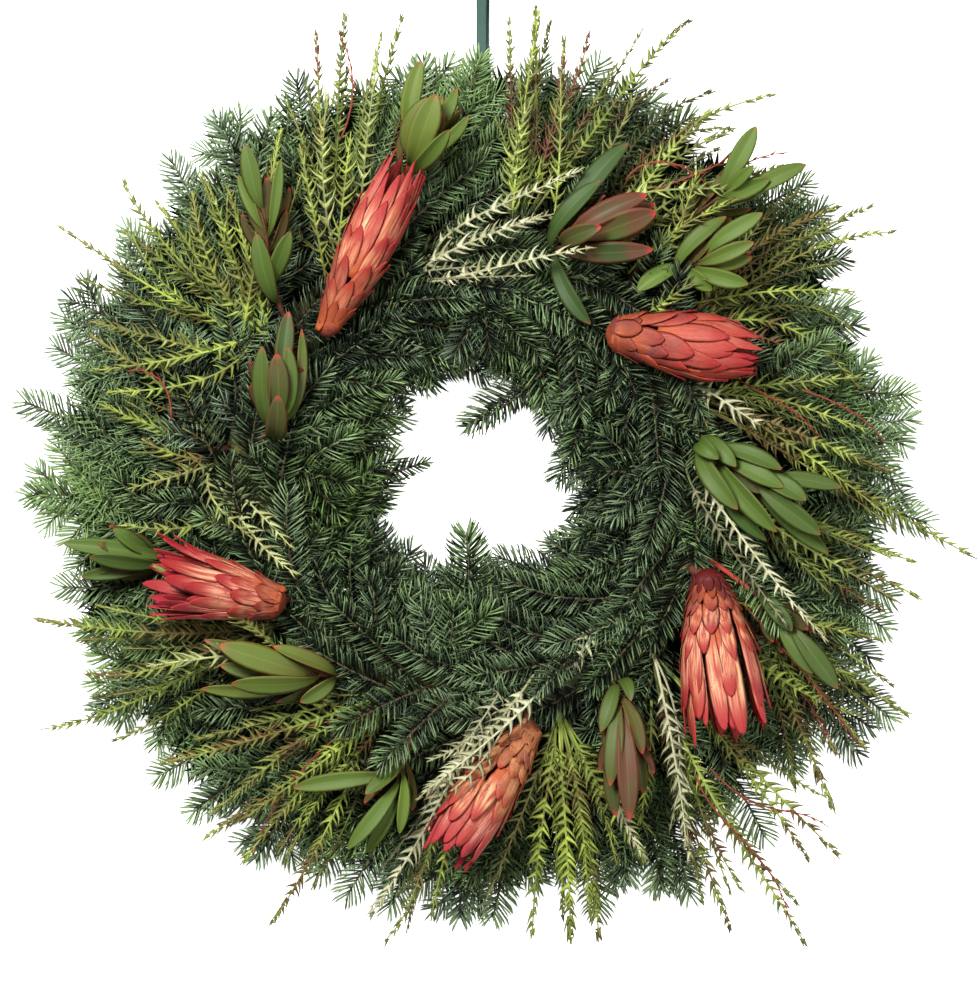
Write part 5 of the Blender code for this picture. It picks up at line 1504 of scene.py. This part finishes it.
def bract_material():
    """Bracts: dark scales at the base, orange above, then coral to crimson with pale faces that are
    partly their own colour and partly painted highlight.
    """
    made = Shader("protea_bract", 0.5, specular=0.35)
    along, across, chance = made.numbers("leaf")
    row, hue, pale = made.numbers("tint")
    low = made.mix(chance, tone(158, 82, 52), tone(120, 62, 50))
    coral = made.mix(hue, tone(174, 86, 66), tone(164, 56, 62))
    orange = made.times(made.steps(along, 0.5, 0.0), 0.7, made.steps(hue, -0.5, 0.0))
    lines = made.streaks((3.0, 9.0, 60.0), 1.8, 5.0)
    blush = made.noise(made.position(), 60.0)
    mauve = made.times(made.steps(blush, 0.42, 0.58), made.steps(row, 0.7, 0.1),
                       made.steps(chance, 0.1, 0.6), 0.85)
    edge = made.steps(made.math("ABSOLUTE", across), 0.84, 1.0)
    tip = made.times(made.steps(along, 0.62, 1.0), made.steps(row, 0.1, 0.5), 0.85)
    spots = made.steps(made.cells(made.position(), 380.0), 0.26, 0.12)
    made.bump(lines, 0.5, 0.0010)
    body = made.over(made.mix(made.steps(row, 0.1, 0.6), low, coral),
                     (made.steps(hue, 0.1, -0.4), 186, 124, 84), (orange, 190, 104, 56))
    body = made.over(bract_faces_and_highlights(made, body, row, hue, pale),
                     (made.times(made.steps(lines, 0.46, 0.7), 0.42), 122, 44, 38),
                     (mauve, 112, 58, 58), (made.times(edge, 0.5), 130, 36, 30))
    return made.colour(
        made.mix(tip, body, made.mix(hue, tone(168, 58, 50), tone(160, 32, 50))),
        (made.steps(row, 0.2, 0.02), 98, 34, 32),
        (made.steps(pale, -0.8, -1.6), 84, 16, 20),
        (made.times(spots, made.steps(blush, 0.5, 0.58), 0.7), 88, 36, 30),
    )


def bract_faces_and_highlights(made, body, row, hue, pale):
    """The body with pale streaks down the middle of the upper bracts, partly their own colour and
    partly painted highlight.
    """
    along, *_ = made.numbers("leaf")
    # Pale streaks: partly the bracts' own pale faces, partly painted highlight
    light = made.times(made.steps(made.streaks((2.2, 2.6, 40.0), 1.3, 5.0), 0.34, 0.66),
                       made.steps(along, 0.15, 0.4), made.steps(along, 0.9, 0.6),
                       made.steps(row, 0.15, 0.6), made.steps(pale, -0.2, 1.1))
    return made.mix(light, body, made.mix(hue, tone(240, 194, 138), tone(230, 158, 146)))


def moss_material():
    """Olive clumps with brown bits."""
    made = Shader("moss", 0.95)
    clumps = made.noise(made.position(), 70.0, 5.0)
    fine = made.noise(made.position(), 420.0, 4.0)
    body = made.mix(made.steps(clumps, 0.36, 0.64), tone(70, 70, 34), tone(104, 98, 54))
    made.bump(fine, 0.9, 0.002)
    return made.colour(body, (made.steps(fine, 0.45, 0.75), 58, 46, 28))


def metal_material(name, first, second, roughness, metallic):
    """Wire in two tones, finely pitted."""
    made = Shader(name, roughness, metallic)
    grain = made.noise(made.position(), 160.0, 4.0)
    made.bump(made.noise(made.position(), 1400.0), 0.15, 0.0003)
    return made.colour(made.mix(made.steps(grain, 0.35, 0.65), first, second))


def ribbon_material():
    """Dark green weave: fine ribs across the ribbon, and a darker edge."""
    made = Shader("ribbon", 0.5)
    made.surface.inputs["Sheen Weight"].default_value = 0.3
    along, across, _ = made.numbers("leaf")
    ribs = made.math("SINE", made.times(along, TURN / 0.6))
    weave = made.math("SINE", made.times(across, 26.0))
    cloth = made.times(ribs, weave)
    edge = made.steps(made.math("ABSOLUTE", across), 0.78, 0.96)
    body = made.mix(made.steps(cloth, -1.0, 1.0), tone(44, 74, 66), tone(62, 94, 84))
    made.bump(cloth, 0.3, 0.0002)
    return made.colour(body, (edge, 22, 48, 40))


# Pieces, stage, lights and camera


def make_piece(growths, name, materials, sharp=False):
    """The mesh object of a node's growth, in place of its CAD node."""
    points, faces, leaf, tint, slots = growths[name].joined()
    points[:, 2] = np.maximum(points[:, 2], 0.0)
    points = (points + (RING_X, RING_Y, 0)) * MM
    mesh = bpy.data.meshes.new(name)
    mesh.vertices.add(len(points))
    mesh.vertices.foreach_set("co", points.astype(np.float32).ravel())
    mesh.loops.add(faces.size)
    mesh.loops.foreach_set("vertex_index", faces.astype(np.int32).ravel())
    mesh.polygons.add(len(faces))
    mesh.polygons.foreach_set("loop_start", np.arange(0, faces.size, 3, dtype=np.int32))
    mesh.polygons.foreach_set("material_index", slots.astype(np.int32))
    mesh.polygons.foreach_set("use_smooth", np.ones(len(faces), bool))
    mesh.update(calc_edges=True)
    for label, values in (("leaf", leaf), ("tint", tint)):
        attribute = mesh.attributes.new(label, "FLOAT_VECTOR", "POINT")
        attribute.data.foreach_set("vector", values.astype(np.float32).ravel())
    for material in materials:
        mesh.materials.append(material)
    if sharp:
        mesh.set_sharp_from_angle(angle=math.radians(SHARP_DEG))
    piece = bpy.data.objects.new(name + "_full", mesh)
    bpy.context.scene.collection.objects.link(piece)
    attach(piece, "root")
    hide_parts(name)
    return piece


def add_camera():
    """Straight above, at the height that the photograph's scale asks for."""
    x = RING_X + (PHOTO_WIDTH / 2 - RING_PIXEL[0]) * MM_PER_PIXEL
    y = RING_Y + (RING_PIXEL[1] - PHOTO_HEIGHT / 2) * MM_PER_PIXEL
    camera = bpy.data.objects.new("camera", bpy.data.cameras.new("camera"))
    bpy.context.scene.collection.objects.link(camera)
    camera.location = (x * MM, y * MM, (CAMERA_PLANE + CAMERA_DISTANCE) * MM)
    camera.data.sensor_width = SENSOR
    camera.data.lens = SENSOR * CAMERA_DISTANCE / (PHOTO_HEIGHT * MM_PER_PIXEL)
    bpy.context.scene.camera = camera


def add_stage():
    """A near-white floor under the wreath."""
    floor = bpy.data.meshes.new("floor")
    corners = [(x * FLOOR_HALF, y * FLOOR_HALF, 0) for x, y in ((-1, -1), (1, -1), (1, 1), (-1, 1))]
    floor.from_pydata(corners, [], [(0, 1, 2, 3)])
    made = Shader("floor", 0.9, specular=0.1)
    speckle = made.noise(made.position(), 3.0)
    made.surface.inputs["Emission Color"].default_value = (1, 1, 1, 1)
    made.surface.inputs["Emission Strength"].default_value = FLOOR_GLOW
    floor.materials.append(made.colour(made.mix(speckle, tone(236, 237, 236),
                                                tone(240, 240, 239))))
    item = bpy.data.objects.new("floor", floor)
    bpy.context.scene.collection.objects.link(item)


def add_light(name, place, width, power):
    light = bpy.data.objects.new(name, bpy.data.lights.new(name, "AREA"))
    light.data.shape = "DISK"
    light.data.size = width
    light.data.energy = power
    light.location = place
    light.rotation_euler = (Vector(LIGHT_AIM) - light.location).to_track_quat("-Z", "Y").to_euler()
    bpy.context.scene.collection.objects.link(light)


def add_lights():
    """Two soft lights, an even light from all round, and how the picture is shown."""
    for row in LIGHTS:
        add_light(*row)
    world = bpy.context.scene.world or bpy.data.worlds.new("world")
    bpy.context.scene.world = world
    world.use_nodes = True
    background = world.node_tree.nodes["Background"]
    background.inputs["Color"].default_value = (1, 1, 1, 1)
    background.inputs["Strength"].default_value = WORLD_LIGHT
    bpy.context.scene.view_settings.view_transform = "Standard"
    bpy.context.scene.view_settings.look = "Medium High Contrast"


def make_ribbon(growths):
    length = ribbon(growths["hanging_ribbon"])
    band = make_piece(growths, "hanging_ribbon", [ribbon_material()], sharp=True)


def make_ring(growths, chance):
    """Frame, moss and binding."""
    wire_frame(growths["wire_frame"])
    moss_ring(growths["moss_ring"], chance)
    binding_wire(growths["binding_wire"])
    steel = metal_material("galvanised_wire", tone(150, 152, 152), tone(112, 114, 116), 0.42, 0.8)
    wire = metal_material("green_wire", tone(30, 70, 44), tone(22, 52, 34), 0.4, 0.3)
    make_piece(growths, "wire_frame", [steel], sharp=True)
    make_piece(growths, "moss_ring", [moss_material()])
    make_piece(growths, "binding_wire", [wire])


def make_flowers(growths, stem, chance):
    """Blooms and shoots."""
    bracts = bract_material()
    for name, base, tip, widest in PROTEAS:
        protea(growths[name], name, base, tip, widest, chance)
        make_piece(growths, name, [bracts, stem])
    leaves = shoot_material()
    for number, (row, tint) in enumerate(zip(LEUCADENDRONS, SHOOT_TONES), 1):
        name = f"leucadendron_{number}"
        leucadendron(growths[name], number, *row, tint, chance)
        make_piece(growths, name, [leaves, stem])


def make_foliage(growths, stem, chance):
    """Grevillea and fir."""
    grow_grevillea(growths, chance)
    lobes = lobe_material()
    curls = bark_material("curl", tone(150, 72, 48), tone(108, 54, 44))
    for bunch in range(1, len(GREVILLEAS) + 1):
        make_piece(growths, f"grevillea_{bunch}", [lobes, stem, curls])
    grow_fir(growths, chance)
    needles = needle_material()
    wood = bark_material("fir_bark", tone(84, 74, 50), tone(60, 50, 36))
    # Painted shade: the material of the near-black fir below
    shade = painted_shade_fir_material()
    for name in growths:
        if name.startswith("fir_"):
            make_piece(growths, name, [needles, wood, shade])


def main():
    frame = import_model()
    add_camera()
    chance = np.random.default_rng(SEED)
    growths = {name: Growth() for name in frame["nodes"]}
    make_ribbon(growths)
    make_ring(growths, chance)
    stem = bark_material("stem", tone(104, 58, 40), tone(78, 44, 34))
    make_flowers(growths, stem, chance)
    make_foliage(growths, stem, chance)
    add_stage()
    add_lights()


main()
